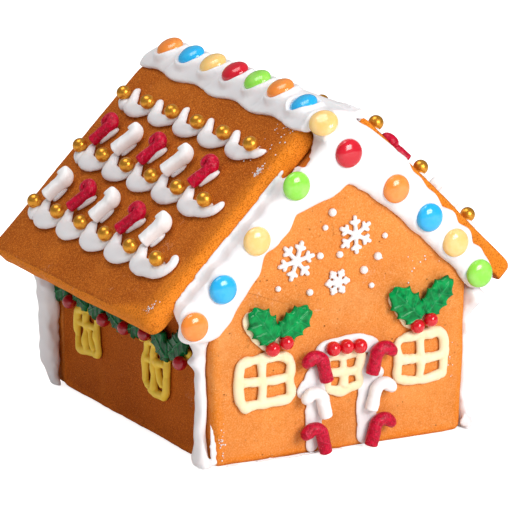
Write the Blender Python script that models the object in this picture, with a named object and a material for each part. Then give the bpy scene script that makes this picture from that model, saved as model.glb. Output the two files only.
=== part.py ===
"""Gingerbread house: six baked plates, the icing that joins them, and its sweets.

Run with: blender --background --python part.py
Every length below is in millimetres until it reaches `world`, which turns it into metres.
House coordinates: x to the right, y from the front wall (0) to the back wall, z up.
"""

import math

import bmesh
import bpy
import numpy as np

# ---------------------------------------------------------------- driving dimensions
MM = 0.001
GAP = 0.3                   # clearance between pieces that touch

WALL_WIDTH = 130.0          # front and back walls, across
HOUSE_DEPTH = 159.0         # outer face of the front wall to outer face of the back wall
PLATE = 9.5                 # thickness of every baked plate
RIDGE_HEIGHT = 164.2        # where the top faces of both roof plates would meet
HALF_SPAN = 95.8            # from the middle to the lower top edge of a roof plate
ROOF_FRONT = 6.5            # the roof plates start this far behind the front face
ROOF_BACK = 164.0
ROOF_START = 20.0           # slope distance from the meeting line to a plate's upper edge
LEFT, RIGHT = -1, 1
PITCH = {LEFT: math.radians(45.2), RIGHT: math.radians(44.1)}
DOME = {LEFT: 1.8, RIGHT: 0.9}      # how far each roof plate swells in its middle

LENTIL_RADIUS = 6.5
LENTIL_HALF_HEIGHT = 3.5
LENTIL_SIDES = 8
PEARL_RADIUS = 3.5
BERRY_RADIUS = 3.2
ICING = 4.6                 # thickness of the icing on the gables

PEARL_COUNT = 6
PEARL_FIRST = 16.0          # from a roof plate's end to its first pearl
PEARL_STEP = 24.4
ROW_SLOPE = {"upper": 40.3, "middle": 72.6, "lower": 106.2}
RIGHT_ROWS_UP = {"upper": 5.3, "middle": 4.6, "lower": 2.7}
CANE_COUNT = 5

# ---------------------------------------------------------------- colours
CRUST = ((0.60, 0.25, 0.060), 0.75, 0.0)
WHITE = ((0.86, 0.83, 0.84), 0.35, 0.0)
CREAM = ((0.88, 0.76, 0.42), 0.45, 0.0)
CRIMSON = ((0.42, 0.006, 0.035), 0.45, 0.0)
HOLLY = ((0.0, 0.19, 0.050), 0.30, 0.0)
GOLD = ((0.60, 0.30, 0.035), 0.25, 0.9)
LENTIL_COLOURS = {
    "orange": ((0.85, 0.27, 0.05), 0.18, 0.0),
    "blue": ((0.03, 0.48, 0.84), 0.18, 0.0),
    "yellow": ((0.90, 0.66, 0.17), 0.18, 0.0),
    "red": ((0.62, 0.005, 0.020), 0.18, 0.0),
    "green": ((0.30, 0.76, 0.10), 0.18, 0.0),
}


# ---------------------------------------------------------------- places
def world(x, y, z):
    """House millimetres to metres, with the origin under the middle of the house."""
    x, y, z = np.broadcast_arrays(x, y, z)
    return np.stack([x, y - HOUSE_DEPTH / 2, z], axis=-1) * MM


def slope_length(side):
    """Slope distance from the meeting line to the plate's lower edge."""
    return HALF_SPAN / math.cos(PITCH[side])


def roof_plane(side, along, slope, height):
    """A point on a roof's flat top plane; `along` runs left to right seen from outside."""
    pitch = PITCH[side]
    x = side * (slope * math.cos(pitch) + height * math.sin(pitch))
    z = RIDGE_HEIGHT - slope * math.sin(pitch) + height * math.cos(pitch)
    y = ROOF_BACK - along if side == LEFT else ROOF_FRONT + along
    return world(x, y, z)


def roof_swell(side, along, slope):
    """Height of the baked dome over the flat top plane."""
    length = ROOF_BACK - ROOF_FRONT
    a = np.clip(along / length, 0, 1)
    b = np.clip((slope - ROOF_START) / (slope_length(side) - ROOF_START), 0, 1)
    return DOME[side] * 16 * a * (1 - a) * b * (1 - b)


def on_roof(side):
    """Place pieces on a roof: (along, -slope, height above the baked surface)."""
    def place(a, b, h):
        return roof_plane(side, a, -b, h + roof_swell(side, a, -b))
    return place


def on_front(a, b, h):
    """Place pieces on the front wall: (across, up, out)."""
    return world(a, -h, b)


def on_back(a, b, h):
    return world(a, HOUSE_DEPTH + h, b)


def on_side(side):
    """Place pieces on a side wall: (distance from the front face, up, out)."""
    def place(a, b, h):
        return world(side * (WALL_WIDTH / 2 + h), a, b)
    return place


def under_roof(x):
    """Height of the roof plates' underside above a point across the house."""
    side = LEFT if x < 0 else RIGHT
    return RIDGE_HEIGHT - PLATE / math.cos(PITCH[side]) - abs(x) * math.tan(PITCH[side])


def smoothstep(t):
    t = np.clip(t, 0.0, 1.0)
    return t * t * (3 - 2 * t)


# ---------------------------------------------------------------- mesh tools
def clear_scene():
    for obj in list(bpy.data.objects):
        bpy.data.objects.remove(obj, do_unlink=True)


def finish_material(finish):
    colour, roughness, metallic = finish
    name = "finish_%03d_%03d_%03d" % tuple(round(100 * c) for c in colour)
    material = bpy.data.materials.get(name)
    if material is None:
        material = bpy.data.materials.new(name)
        material.use_nodes = True
        shader = material.node_tree.nodes["Principled BSDF"]
        shader.inputs["Base Color"].default_value = (*colour, 1.0)
        shader.inputs["Roughness"].default_value = roughness
        shader.inputs["Metallic"].default_value = metallic
        material.diffuse_color = (*colour, 1.0)
    return material


def make_solid(name, vertices, faces, finish):
    """One closed body whose faces point outwards."""
    mesh = bpy.data.meshes.new(name)
    mesh.from_pydata([tuple(v) for v in np.asarray(vertices, float)], [], faces)
    tidy = bmesh.new()
    tidy.from_mesh(mesh)
    bmesh.ops.recalc_face_normals(tidy, faces=tidy.faces)
    bmesh.ops.triangulate(tidy, faces=tidy.faces)
    tidy.to_mesh(mesh)
    tidy.free()
    mesh.shade_smooth()
    mesh.set_sharp_from_angle(angle=math.radians(40))
    mesh.materials.append(finish_material(finish))
    obj = bpy.data.objects.new(name, mesh)
    bpy.context.scene.collection.objects.link(obj)
    return obj


def loft(rings, poles=(False, False)):
    """Vertices and faces of a skin over rings of equal size; a pole closes an end in a fan."""
    rings = [np.asarray(ring, float) for ring in rings]
    count = len(rings[0])
    vertices = np.concatenate(rings)
    faces = []
    for level in range(len(rings) - 1):
        low, high = level * count, (level + 1) * count
        for k in range(count):
            nxt = (k + 1) % count
            faces.append((low + k, low + nxt, high + nxt, high + k))
    for start, is_pole in ((0, poles[0]), ((len(rings) - 1) * count, poles[1])):
        if is_pole:
            vertices = np.vstack([vertices, vertices[start:start + count].mean(axis=0)])
            faces += [(start + k, start + (k + 1) % count, len(vertices) - 1) for k in range(count)]
        else:
            faces.append(tuple(range(start, start + count)))
    return vertices, faces


def loft_between(place, rings, poles=(False, False)):
    """A loft whose rings are given in a place's own (a, b, h) coordinates."""
    vertices, faces = loft(rings, poles)
    return place(vertices[:, 0], vertices[:, 1], vertices[:, 2]), faces


def combine(target, others, operation):
    """Apply one exact Boolean of several pieces to `target`, and take those pieces away."""
    tools = bpy.data.collections.new("tools")
    bpy.context.scene.collection.children.link(tools)
    for other in others:
        bpy.context.scene.collection.objects.unlink(other)
        tools.objects.link(other)
    step = target.modifiers.new("combine", 'BOOLEAN')
    step.operation = operation
    step.solver = 'EXACT'
    step.operand_type = 'COLLECTION'
    step.collection = tools
    evaluated = target.evaluated_get(bpy.context.evaluated_depsgraph_get())
    result = bpy.data.meshes.new_from_object(evaluated)
    target.modifiers.remove(step)
    target.data = result
    for other in list(tools.objects):
        bpy.data.objects.remove(other, do_unlink=True)
    bpy.data.collections.remove(tools)
    return target


def unite(target, others):
    return combine(target, others, 'UNION')


def carve(target, others):
    return combine(target, others, 'DIFFERENCE')


# ---------------------------------------------------------------- baked plates
def rounded_ring(corners, radii, inset, arc_points=3):
    """A convex outline moved inwards by `inset`, each corner rounded with an arc."""
    corners = np.asarray(corners, float)
    count = len(corners)
    middle = corners.mean(axis=0)
    normals, offsets = [], []
    for k in range(count):
        edge = corners[(k + 1) % count] - corners[k]
        normal = np.array([edge[1], -edge[0]]) / np.linalg.norm(edge)
        if normal @ (corners[k] - middle) < 0:
            normal = -normal
        normals.append(normal)
        offsets.append(normal @ corners[k] - inset)
    points = []
    for k in range(count):
        before, after = normals[k - 1], normals[k]
        radius = max(radii[k] - inset, 0.25)
        lines = np.array([before, after])
        centre = np.linalg.solve(lines, np.array([offsets[k - 1], offsets[k]]) - radius)
        turn = math.acos(np.clip(before @ after, -1, 1))
        for j in range(arc_points):
            t = j / (arc_points - 1)
            blend = (before * math.sin((1 - t) * turn) + after * math.sin(t * turn)) / math.sin(turn)
            points.append(centre + radius * blend)
    return np.array(points)


def slab_rings(corners, radii, under, top, arc_points=3):
    """Rings of a baked slab: a small round below, a large one on the baked face above."""
    levels = [(0.8, 0.0), (0.0, 0.8), (0.0, PLATE - 3.0), (0.9, PLATE - 0.9), (3.0, PLATE)]
    rings = []
    for inset, level in levels:
        outline = rounded_ring(corners, radii, inset, arc_points)
        height = np.full(len(outline), under + level * (top - under) / PLATE)
        rings.append(np.column_stack([outline, height]))
    return rings


def gable_wall(name, is_back):
    """Five-sided wall: nearly straight sides, and a point that carries both roof plates."""
    half = WALL_WIDTH / 2
    seat = {side: under_roof(side * half) - GAP / math.cos(PITCH[side]) for side in (LEFT, RIGHT)}
    peak = under_roof(0.0) - GAP / math.cos(PITCH[LEFT])
    corners = [(-half + 1.2, 0), (half - 1.2, 0), (half, 40), (half, seat[RIGHT]),
               (0.1, peak), (-half, seat[LEFT]), (-half, 40)]
    radii = [4.0, 4.0, 60.0, 1.5, 1.5, 1.5, 60.0]

    def place(a, b, h):
        return world(a, HOUSE_DEPTH - PLATE + h if is_back else PLATE - h, b)
    rings = slab_rings(corners, radii, 0.0, PLATE, arc_points=2)
    vertices, faces = loft_between(place, rings)
    return make_solid(name, vertices, faces, CRUST)


def side_wall(name, side):
    """Rectangular wall that stands between the gables, with its top under the roof."""
    near, far = PLATE + GAP, HOUSE_DEPTH - PLATE - GAP
    height = under_roof(side * WALL_WIDTH / 2) - 2 * GAP
    corners = [(near, 0), (far, 0), (far, height), (near, height)]
    rings = slab_rings(corners, [1.5] * 4, -PLATE, 0.0, arc_points=2)
    vertices, faces = loft_between(on_side(side), rings)
    return make_solid(name, vertices, faces, CRUST)


def roof_plate(name, side):
    """Oblong plate with round corners, flat below, swollen on its baked face."""
    length, low, high = ROOF_BACK - ROOF_FRONT, -slope_length(side), -ROOF_START
    corners = [(0, low), (length, low), (length, high), (0, high)]
    rings = slab_rings(corners, [7.0] * 4, -PLATE, 0.0, arc_points=4)
    for shrink in (0.80, 0.45):
        ring = rings[4].copy()
        middle = ring[:, :2].mean(axis=0)
        ring[:, :2] = middle + (ring[:, :2] - middle) * shrink
        ring[:, 2] = roof_swell(side, ring[:, 0], -ring[:, 1])
        rings.append(ring)

    def place(a, b, h):
        return roof_plane(side, a, -b, h)
    vertices, faces = loft_between(place, rings, poles=(False, True))
    pole = place(length / 2, (low + high) / 2, roof_swell(side, length / 2, -(low + high) / 2))
    vertices[-1] = pole
    return make_solid(name, vertices, faces, CRUST)


# ---------------------------------------------------------------- round sweets
def turned_rings(profile, centre, axis, sides):
    """Rings of a body turned about `axis`; the profile lists (radius, height) pairs."""
    axis = np.asarray(axis, float) / np.linalg.norm(axis)
    helper = np.array([0.0, 0.0, 1.0]) if abs(axis[2]) < 0.9 else np.array([0.0, 1.0, 0.0])
    across = np.cross(helper, axis)
    across /= np.linalg.norm(across)
    other = np.cross(axis, across)
    angle = np.arange(sides) * 2 * math.pi / sides
    circle = np.outer(np.cos(angle), across) + np.outer(np.sin(angle), other)
    return [np.asarray(centre) + radius * circle + height * axis for radius, height in profile]


def lens_profile(radius, half_height, steps):
    """Side view of a sugar-coated lentil: an ellipse, poles left out."""
    angles = np.linspace(-math.pi / 2, math.pi / 2, steps + 2)[1:-1]
    return [(radius * math.cos(t) ** 0.85, half_height * math.sin(t)) for t in angles]


def ball(name, place, centre, radius, finish):
    """A small round sweet with twenty faces, its poles towards and away from the plate."""
    rings = turned_rings(lens_profile(radius, radius, 2), centre, (0, 0, 1), 5)
    rings[1] = turned_rings(lens_profile(radius, radius, 2), centre, (0, 0, 1), 10)[1][1::2]
    vertices, faces = loft(rings, poles=(True, True))
    vertices[-2] = np.asarray(centre) - (0, 0, radius)
    vertices[-1] = np.asarray(centre) + (0, 0, radius)
    points = place(vertices[:, 0], vertices[:, 1], vertices[:, 2])
    return make_solid(name, points, faces, finish)


def lentil(name, centre, axis, colour, steps=3):
    """A sugar-coated lentil in house coordinates, its flat sides across `axis`."""
    profile = lens_profile(LENTIL_RADIUS, LENTIL_HALF_HEIGHT, steps)
    vertices, faces = loft(turned_rings(profile, centre, axis, LENTIL_SIDES), poles=(True, True))
    unit = np.asarray(axis, float) / np.linalg.norm(axis)
    vertices[-2] = np.asarray(centre) - LENTIL_HALF_HEIGHT * unit
    vertices[-1] = np.asarray(centre) + LENTIL_HALF_HEIGHT * unit
    points = world(vertices[:, 0], vertices[:, 1], vertices[:, 2])
    return make_solid(name, points, faces, LENTIL_COLOURS[colour])


def socket(centre, axis):
    """The tool that cuts a lentil's bed: a dish that clears the lentil all round."""
    rim, bed, clear = LENTIL_RADIUS + 0.45, LENTIL_RADIUS * 0.80, LENTIL_HALF_HEIGHT + 0.45
    profile = [(bed, -clear), (rim, -0.2), (rim, clear)]
    vertices, faces = loft(turned_rings(profile, centre, axis, LENTIL_SIDES))
    return make_solid("socket", world(vertices[:, 0], vertices[:, 1], vertices[:, 2]), faces, WHITE)


def carve_sockets(icing, spots):
    return carve(icing, [socket(centre, axis) for _, centre, axis, _ in spots])


def set_lentils(spots):
    for name, centre, axis, colour in spots:
        lentil(name, centre, axis, colour)


# ---------------------------------------------------------------- icing on the roof and gables
def bead_ring(lower, upper, base, height, points=5):
    """Cross-section of a flat-bottomed bead of icing between two points of a plane."""
    t = np.linspace(0, math.pi, points)
    share = (0.5 - 0.5 * np.cos(t))[:, None]
    flat = np.asarray(lower) + (np.asarray(upper) - np.asarray(lower)) * share
    return np.column_stack([flat, base + height * np.sin(t) ** 0.6])


def crown_height(x, share=1.0):
    """Top of the ridge icing: an arch that leans down to the right; `share` sinks it to the plates."""
    top_face = RIDGE_HEIGHT - abs(x) * math.tan(PITCH[LEFT if x < 0 else RIGHT])
    base = min(151.6, top_face + 1.8)
    arch = min(147.0 + 11.6 * (1 - abs(x / 19.0) ** 3.2), 157.4 - 0.41 * x)
    return base + share * max(arch - base, 0.4)


FRONT_SHARE = 0.45      # how much of the arch is left where it meets the front gable


def ridge_edge(side, y):
    """Slope distance at which the ridge icing ends on a roof plate; it runs in waves."""
    wave = 1.1 * math.sin(2 * math.pi * y / 37.0 + side)
    return ROOF_START + 4.6 + wave - 1.5 * (y / HOUSE_DEPTH)


def ridge_ring(y, share):
    """Cross-section at depth y; `share` sinks the arch towards the plates at the ends."""
    edges = {}
    for side in (LEFT, RIGHT):
        slope = ridge_edge(side, y) + 1.4
        pitch = PITCH[side]
        edges[side] = (side * (slope * math.cos(pitch) + 0.5 * math.sin(pitch)),
                       RIDGE_HEIGHT - slope * math.sin(pitch) + 0.9 * math.cos(pitch))
    start, end = edges[LEFT], edges[RIGHT]
    ring = [start]
    for t in (0.07, 0.21, 0.40, 0.60, 0.79, 0.93):
        x = start[0] + (end[0] - start[0]) * t
        ring.append((x, crown_height(x, share)))
    ring.append(end)
    for side in (RIGHT, LEFT):
        pitch = PITCH[side]
        slope = ROOF_START - GAP
        under = [(slope, GAP), (slope, -PLATE)]
        corner = [(side * (s * math.cos(pitch) + h * math.sin(pitch)),
                   RIDGE_HEIGHT - s * math.sin(pitch) + h * math.cos(pitch)) for s, h in under]
        ring += corner if side == RIGHT else corner[::-1]
        if side == RIGHT:
            ring.append((0.1, under_roof(0.0) + 2 * GAP))
    return np.array([(x, y, z) for x, z in ring])


def ridge_icing():
    """The arch of icing that bridges the gap between the two roof plates."""
    first, last = ROOF_FRONT, ROOF_BACK + 1.0
    depths = np.concatenate([np.linspace(first, last - 9, 8), [last - 3, last]])
    rings = []
    for y in depths:
        from_front = FRONT_SHARE + (1 - FRONT_SHARE) * smoothstep((y - first) / 24.0)
        from_back = 0.7 + 0.3 * smoothstep((last - y) / 14.0)
        rings.append(ridge_ring(y, float(from_front * from_back)))
    vertices, faces = loft(rings)
    points = world(vertices[:, 0], vertices[:, 1], vertices[:, 2])
    return make_solid("ridge_icing", points, faces, WHITE)


def ridge_lentils():
    """Eight lentils pressed into the left half of the ridge icing."""
    colours = ["orange", "blue", "yellow", "red", "green", "orange", "blue"]
    x = -9.5
    axis = (-0.48, 0.0, 0.88)
    spots = []
    for k, colour in enumerate(colours):
        height = 157.8 if k < 6 else 154.6
        spots.append(("lentil_ridge_%d" % (k + 1), (x, 146.0 - 21.0 * k, height), axis, colour))
    spots.append(("lentil_ridge_8", (-11.6, -1.2, 150.8), (-0.45, -0.70, 0.55), "yellow"))
    return spots


GABLE_APEX = (0.1, under_roof(0.0))
LEG_END = {LEFT: 121.0, RIGHT: 111.0}
LEG_ROWS = {     # down the slope, then how far the icing reaches inwards and outwards there
    LEFT: ((27, 20.0, 5.0), (38, 14.5, 6.0), (48, 11.5, 6.2), (66, 12.0, 5.8), (80, 16.0, 5.6),
           (98, 18.5, 5.4), (121, 18.0, 3.0)),
    RIGHT: ((27, 17.5, 4.6), (41, 16.0, 5.2), (58, 14.6, 3.2), (76, 14.0, 2.6), (90, 13.3, -0.8),
            (111, 14.6, -1.4))}


def gable_point(side, down, inward):
    """(x, z) at a distance down the gable's sloping edge, and inwards square to it."""
    pitch = PITCH[side]
    x = GABLE_APEX[0] + side * (down * math.cos(pitch) - inward * math.sin(pitch))
    z = GABLE_APEX[1] - down * math.sin(pitch) - inward * math.cos(pitch)
    return x, z


def leg_limits(side, down, is_back):
    """How far the gable icing reaches inwards (lower edge) and outwards (upper edge).

    At the back the roof plates stand out over the wall, so the icing stays below them.
    """
    wave = 0.6 * math.sin(down / 5.3 + side)
    if is_back:
        spread = float(smoothstep((down - 30.0) / 66.0))
        centre, lower, upper = 8.0, 16.0 + 3.0 * spread + wave, -0.8
    else:
        rows = np.array(LEG_ROWS[side])
        centre = 6.0
        lower = float(np.interp(down, rows[:, 0], rows[:, 1])) + wave
        upper = float(np.interp(down, rows[:, 0], rows[:, 2]))
    left_over = min((LEG_END[side] - down) / 16.0, 1.0)
    taper = max(math.sqrt(1 - (1 - left_over) ** 2), 0.06)
    return centre + (lower - centre) * taper, centre - (centre + upper) * taper, taper


def chevron_ring(lower, upper, edge, depth, height):
    """Cross-section over the gable's face, with a step `depth` deep back to the roof plate.

    `edge` is the share of the way from `lower` to `upper` at which the step begins.
    """
    lower, upper = np.asarray(lower), np.asarray(upper)
    t = np.array([0.0, 0.13, 0.38, 0.68, 0.92])
    rise = np.array([0.0, 0.78, 1.0, 0.92, 0.45])
    flat = lower + (upper - lower) * t[:, None]
    front = np.column_stack([flat, GAP + height * rise])
    if depth > 0.2:
        line = lower + (upper - lower) * edge
        back = [(*upper, GAP - depth), (*line, GAP - depth), (*line, GAP)]
    else:
        shares = (1.0, 0.95, 0.5)
        back = [(*(lower + (upper - lower) * share), GAP) for share in shares]
    return np.vstack([front, back])


def leg_rings(side, is_back):
    """Rings down one slope, from the foot up towards the point."""
    ends = LEG_END[side] - np.array([0.0, 1.5, 5.0, 12.0])
    rings = []
    for down in np.concatenate([ends, np.linspace(LEG_END[side] - 24, 27.0, 5)]):
        inward, outward, taper = leg_limits(side, float(down), is_back)
        over = -outward - 1.2
        depth = ROOF_FRONT * float(np.clip(over / 2.5, 0, 1))
        edge = 1.0 - over / (inward - outward)
        lower, upper = gable_point(side, down, inward), gable_point(side, down, outward)
        rings.append(chevron_ring(lower, upper, edge, depth, ICING * taper ** 0.5))
    return rings


def apex_rings(is_back):
    """Rings under the gable's point, where both slopes run together."""
    rings = []
    for x, low_x, low, over in ((-11.0, -2.0, 119.4, 153.4), (0.0, 1.4, 121.2, 155.4), (11.0, 4.4, 120.6, 147.6)):
        top = under_roof(x) - 1.2 if is_back else over
        above_low, above_top = low - under_roof(low_x), top - under_roof(x)
        edge = (1.0 - above_low) / (above_top - above_low)
        depth = 0.0 if is_back else ROOF_FRONT
        rings.append(chevron_ring((low_x, low), (x, top), edge, depth, ICING))
    return rings


def gable_icing(name, is_back):
    """Thick icing that follows both slopes of a gable and runs together at its point."""
    rings = leg_rings(LEFT, is_back) + apex_rings(is_back) + leg_rings(RIGHT, is_back)[::-1]
    vertices, faces = loft_between(on_back if is_back else on_front, rings)
    return make_solid(name, vertices, faces, WHITE)


def gable_lentils(is_back):
    """Nine lentils on a gable: four down each slope and a red one under the point."""
    left = [("green", 37.5, -1.0), ("yellow", 67.2, 1.1), ("blue", 92.8, 3.2), ("orange", 113.3, 3.9)]
    right = [("orange", 39.5, 7.0), ("blue", 62.5, 5.6), ("yellow", 81.5, 5.4), ("green", 101.8, 7.6)]
    spots = [("apex", (-1.0, 137.0), "red")]
    for side, word, row in ((LEFT, "left", left), (RIGHT, "right", right)):
        for k, (colour, down, inward) in enumerate(row):
            inward = max(inward, 8.4) if is_back else inward
            spots.append(("%s_%d" % (word, k + 1), gable_point(side, down, inward), colour))
    out = GAP + ICING + 0.4
    y = HOUSE_DEPTH + out if is_back else -out
    return [("lentil_gable_" + word, (x, y, z), (0, -1, 0), colour) for word, (x, z), colour in spots]


# ---------------------------------------------------------------- icing down the corners
FRONT_COLUMN = [(0.3, 5.2, 3.0), (4.0, 5.6, 3.6), (12.0, 4.4, 2.9), (28.0, 4.9, 2.6),
                (44.0, 5.2, 3.6), (55.0, 7.4, 6.0), (62.0, 8.2, 7.4), (67.0, 5.0, 4.4)]
BACK_COLUMN = [(0.3, 3.5, 1.6), (4.0, 4.0, 2.2), (12.0, 4.2, 3.2), (28.0, 4.2, 4.2),
               (44.0, 4.2, 4.9), (55.0, 4.2, 5.2), (62.0, 4.2, 5.4), (67.0, 3.5, 3.8)]


def corner_icing(name, side, is_back):
    """A rough column of icing down a corner: (height, half width, half depth) at each level.

    In front it fills the seam behind the gable and swells forwards under the eave; at the
    back it covers the gable's own edge.
    """
    sides = 7
    angle = np.arange(sides) * 2 * math.pi / sides
    rings = []
    for z, half_width, half_depth in BACK_COLUMN if is_back else FRONT_COLUMN:
        if is_back:
            middle, lift = HOUSE_DEPTH - 5.0, 2 * GAP
        else:
            forward = float(smoothstep((z - 44.0) / 20.0)) * 5.8
            middle, lift = PLATE + 5.6 - forward + 0.8 * math.sin(z / 6.0), GAP * (1 + min(forward, 1))
        y = middle + half_width * np.cos(angle)
        out = lift + half_depth * (1 + np.sin(angle)) * 0.95
        rings.append(np.column_stack([y, np.full(sides, z), out]))
    vertices, faces = loft_between(on_side(side), rings)
    return make_solid(name, vertices, faces, WHITE)


# ---------------------------------------------------------------- sweets on the roof
def pearl_along(k):
    return PEARL_FIRST + PEARL_STEP * k


def lobe_bounds():
    """Where the hanging lobes of a scalloped row meet, along the roof."""
    inner = [pearl_along(k) + 2.8 for k in range(1, PEARL_COUNT - 1)]
    return [pearl_along(0) - 4.5, *inner, pearl_along(PEARL_COUNT - 1) + 7.5]


def row_slope(side, row):
    """Slope distance of a row of pearls; on the right the rows sit a little higher."""
    return ROW_SLOPE[row] - (RIGHT_ROWS_UP[row] if side == RIGHT else 0.0)


def scallop_limits(side, row, along):
    """Upper and lower edge of a scalloped row of icing, as slope distances."""
    slope = row_slope(side, row)
    bounds = lobe_bounds()
    k = int(np.clip(np.searchsorted(bounds, along, side="right") - 1, 0, len(bounds) - 2))
    share = (along - bounds[k]) / (bounds[k + 1] - bounds[k])
    lower = slope + 4.4 + 5.2 * math.sin(math.pi * float(np.clip(share, 0, 1))) ** 0.8
    upper = slope + 2.0
    for j in range(PEARL_COUNT):
        tall = 6.3 if row == "upper" or j == PEARL_COUNT - 1 else 2.2
        upper -= tall * math.exp(-((along - pearl_along(j) - 4.6) / 2.4) ** 2)
    return upper, lower


def scallop_row(name, side, row):
    """One piped border: lobes that hang down the slope, and a pearl over every joint."""
    bounds = lobe_bounds()
    stations = []
    for k in range(len(bounds) - 1):
        width = bounds[k + 1] - bounds[k]
        stations += [bounds[k] + width * t for t in (0.04, 0.34, 0.70)]
    stations += [bounds[-1] - 4.2, bounds[-1] - 1.6, bounds[-1] - 0.3]
    rings = []
    for along in stations:
        upper, lower = scallop_limits(side, row, along)
        if along > bounds[-1] - 2.0:
            middle = 0.7 * upper + 0.3 * lower
            upper, lower = (upper + middle) / 2, (lower + middle) / 2
        height = 2.6 + 0.9 * min(1.0, (lower - upper) / 7.0)
        rings.append(bead_ring((along, -lower), (along, -upper), GAP, height, points=4))
    vertices, faces = loft_between(on_roof(side), rings)
    border = make_solid(name, vertices, faces, WHITE)
    slope = row_slope(side, row)
    pearls = [ball("pearl", on_roof(side), (pearl_along(k), -slope - 1.2, 4.4), PEARL_RADIUS, GOLD)
              for k in range(PEARL_COUNT)]
    return unite(border, pearls)


def tube_rings(path, radii, lift, sides=6):
    """Rings around a flat path; the tube rests on its plane and keeps `lift` above it."""
    path = np.asarray(path, float)
    tangent = np.gradient(path, axis=0)
    tangent /= np.linalg.norm(tangent, axis=1)[:, None]
    normal = np.column_stack([-tangent[:, 1], tangent[:, 0]])
    angle = np.arange(sides) * 2 * math.pi / sides
    rings = []
    for point, side_way, radius in zip(path, normal, radii):
        flat = point + np.outer(np.cos(angle) * radius, side_way)
        height = lift + max(radii) * 0.87 + np.sin(angle) * radius
        rings.append(np.column_stack([flat, height]))
    return rings


def cane_path(foot, lean, stem, hook, curl, turn):
    """Centre line of a candy cane: a straight stem, then a hook; `turn` is its side."""
    lean = math.radians(lean)
    points = [(0.0, 0.0), (0.0, stem * 0.5), (0.0, stem)]
    for t in np.linspace(0, math.radians(curl), 4)[1:]:
        points.append((turn * hook * (1 - math.cos(t)), stem + hook * math.sin(t)))
    points = np.array(points)
    spin = np.array([[math.cos(lean), -math.sin(lean)], [math.sin(lean), math.cos(lean)]])
    return np.asarray(foot) + points @ spin


def cane(name, place, foot, shape, finish, lift=GAP):
    """A short sugar cane of about 20 mm; shape = (lean, stem, hook radius, curl, turn, radius)."""
    lean, stem, hook, curl, turn, radius = shape
    path = cane_path(foot, lean, stem, hook, curl, turn)
    radii = [radius * f for f in (0.86, 1.0, 1.0, 1.0, 0.95, 0.75)]
    vertices, faces = loft_between(place, tube_rings(path, radii, lift))
    return make_solid(name, vertices, faces, finish)


def roof_canes(side, row, first_is_red, count):
    """Canes in a row, red and white in turn, their feet above a scalloped border."""
    word = {LEFT: "left", RIGHT: "right"}[side]
    below = {"upper": "middle", "lower": "lower"}[row]
    for k in range(count):
        is_red = (k % 2 == 0) == first_is_red
        foot = (pearl_along(k) + 4.6, -row_slope(side, below) + 2.6)
        shape = (12, 11.0, 3.9, 165, -1, 2.6) if is_red else (14, 10.5, 3.6, 120, -1, 3.2)
        name = "cane_%s_%s_%d" % (word, row, k + 1)
        cane(name, on_roof(side), foot, shape, CRIMSON if is_red else WHITE)


# ---------------------------------------------------------------- windows, holly, doorway
def lattice(name, place, centre, width, height, bar=5.0, thick=2.4):
    """A piped window: four openings between bars that run across each other."""
    def lines(size):
        half = size / 2
        return [-half, -half + bar, -bar / 2, bar / 2, half - bar, half]
    xs, zs = lines(width), lines(height)
    vertices, faces = [], []
    for level, shrink in ((GAP, 1.0), (GAP + thick, 0.96)):
        for i, x in enumerate(xs):
            for j, z in enumerate(zs):
                is_corner = i in (0, 5) and j in (0, 5)
                pull = shrink * (0.93 if is_corner else 1.0)
                vertices.append((centre[0] + x * pull, centre[1] + z * pull, level))

    def index(level, i, j):
        return level * 36 + i * 6 + j

    def is_solid(i, j):
        return 0 <= i < 5 and 0 <= j < 5 and not (i in (1, 3) and j in (1, 3))
    for i in range(5):
        for j in range(5):
            if not is_solid(i, j):
                continue
            square = [(i, j), (i + 1, j), (i + 1, j + 1), (i, j + 1)]
            faces.append(tuple(index(0, *c) for c in square[::-1]))
            faces.append(tuple(index(1, *c) for c in square))
            beside = [(i, j - 1), (i + 1, j), (i, j + 1), (i - 1, j)]
            for k, neighbour in enumerate(beside):
                if not is_solid(*neighbour):
                    a, b = square[k], square[(k + 1) % 4]
                    faces.append((index(0, *a), index(0, *b), index(1, *b), index(1, *a)))
    points = np.array(vertices)
    used = sorted({v for face in faces for v in face})
    renumber = {old: new for new, old in enumerate(used)}
    faces = [tuple(renumber[v] for v in face) for face in faces]
    points = points[used]
    return make_solid(name, place(points[:, 0], points[:, 1], points[:, 2]), faces, CREAM)


def leaf(place, base, angle, length, width, lift=1.2, thick=2.4):
    """A holly leaf: points and hollows in turn along both edges, raised in the middle."""
    half = [(0.24, 1.0), (0.42, 0.55), (0.66, 0.95)]
    outline = [(t * length, w * width / 2) for t, w in half] + [(length, 0.0)]
    outline += [(t * length, -w * width / 2) for t, w in half[::-1]] + [(0.0, 0.0)]
    spin = math.radians(angle)
    turn = np.array([[math.cos(spin), math.sin(spin)], [-math.sin(spin), math.cos(spin)]])
    flat = np.array(outline) @ turn + np.asarray(base)
    middle = flat.mean(axis=0)
    rings = [np.column_stack([flat, np.full(len(flat), lift)]),
             np.column_stack([middle + (flat - middle) * 0.93, np.full(len(flat), lift + thick)])]
    vertices, faces = loft(rings, poles=(False, True))
    vertices[-1, 2] += 0.6
    return make_solid("leaf", place(vertices[:, 0], vertices[:, 1], vertices[:, 2]), faces, HOLLY)


def dab(place, centre, half_width, half_height, thick=1.9):
    """A flat dab of icing that holds a leaf or a berry."""
    angle = np.arange(8) * math.pi / 4
    outline = np.column_stack([np.cos(angle) * half_width, np.sin(angle) * half_height])
    rings = [np.column_stack([outline * f + centre, np.full(8, h)])
             for f, h in ((1.0, GAP), (0.9, GAP + thick))]
    vertices, faces = loft(rings)
    return make_solid("dab", place(vertices[:, 0], vertices[:, 1], vertices[:, 2]), faces, CREAM)


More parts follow.
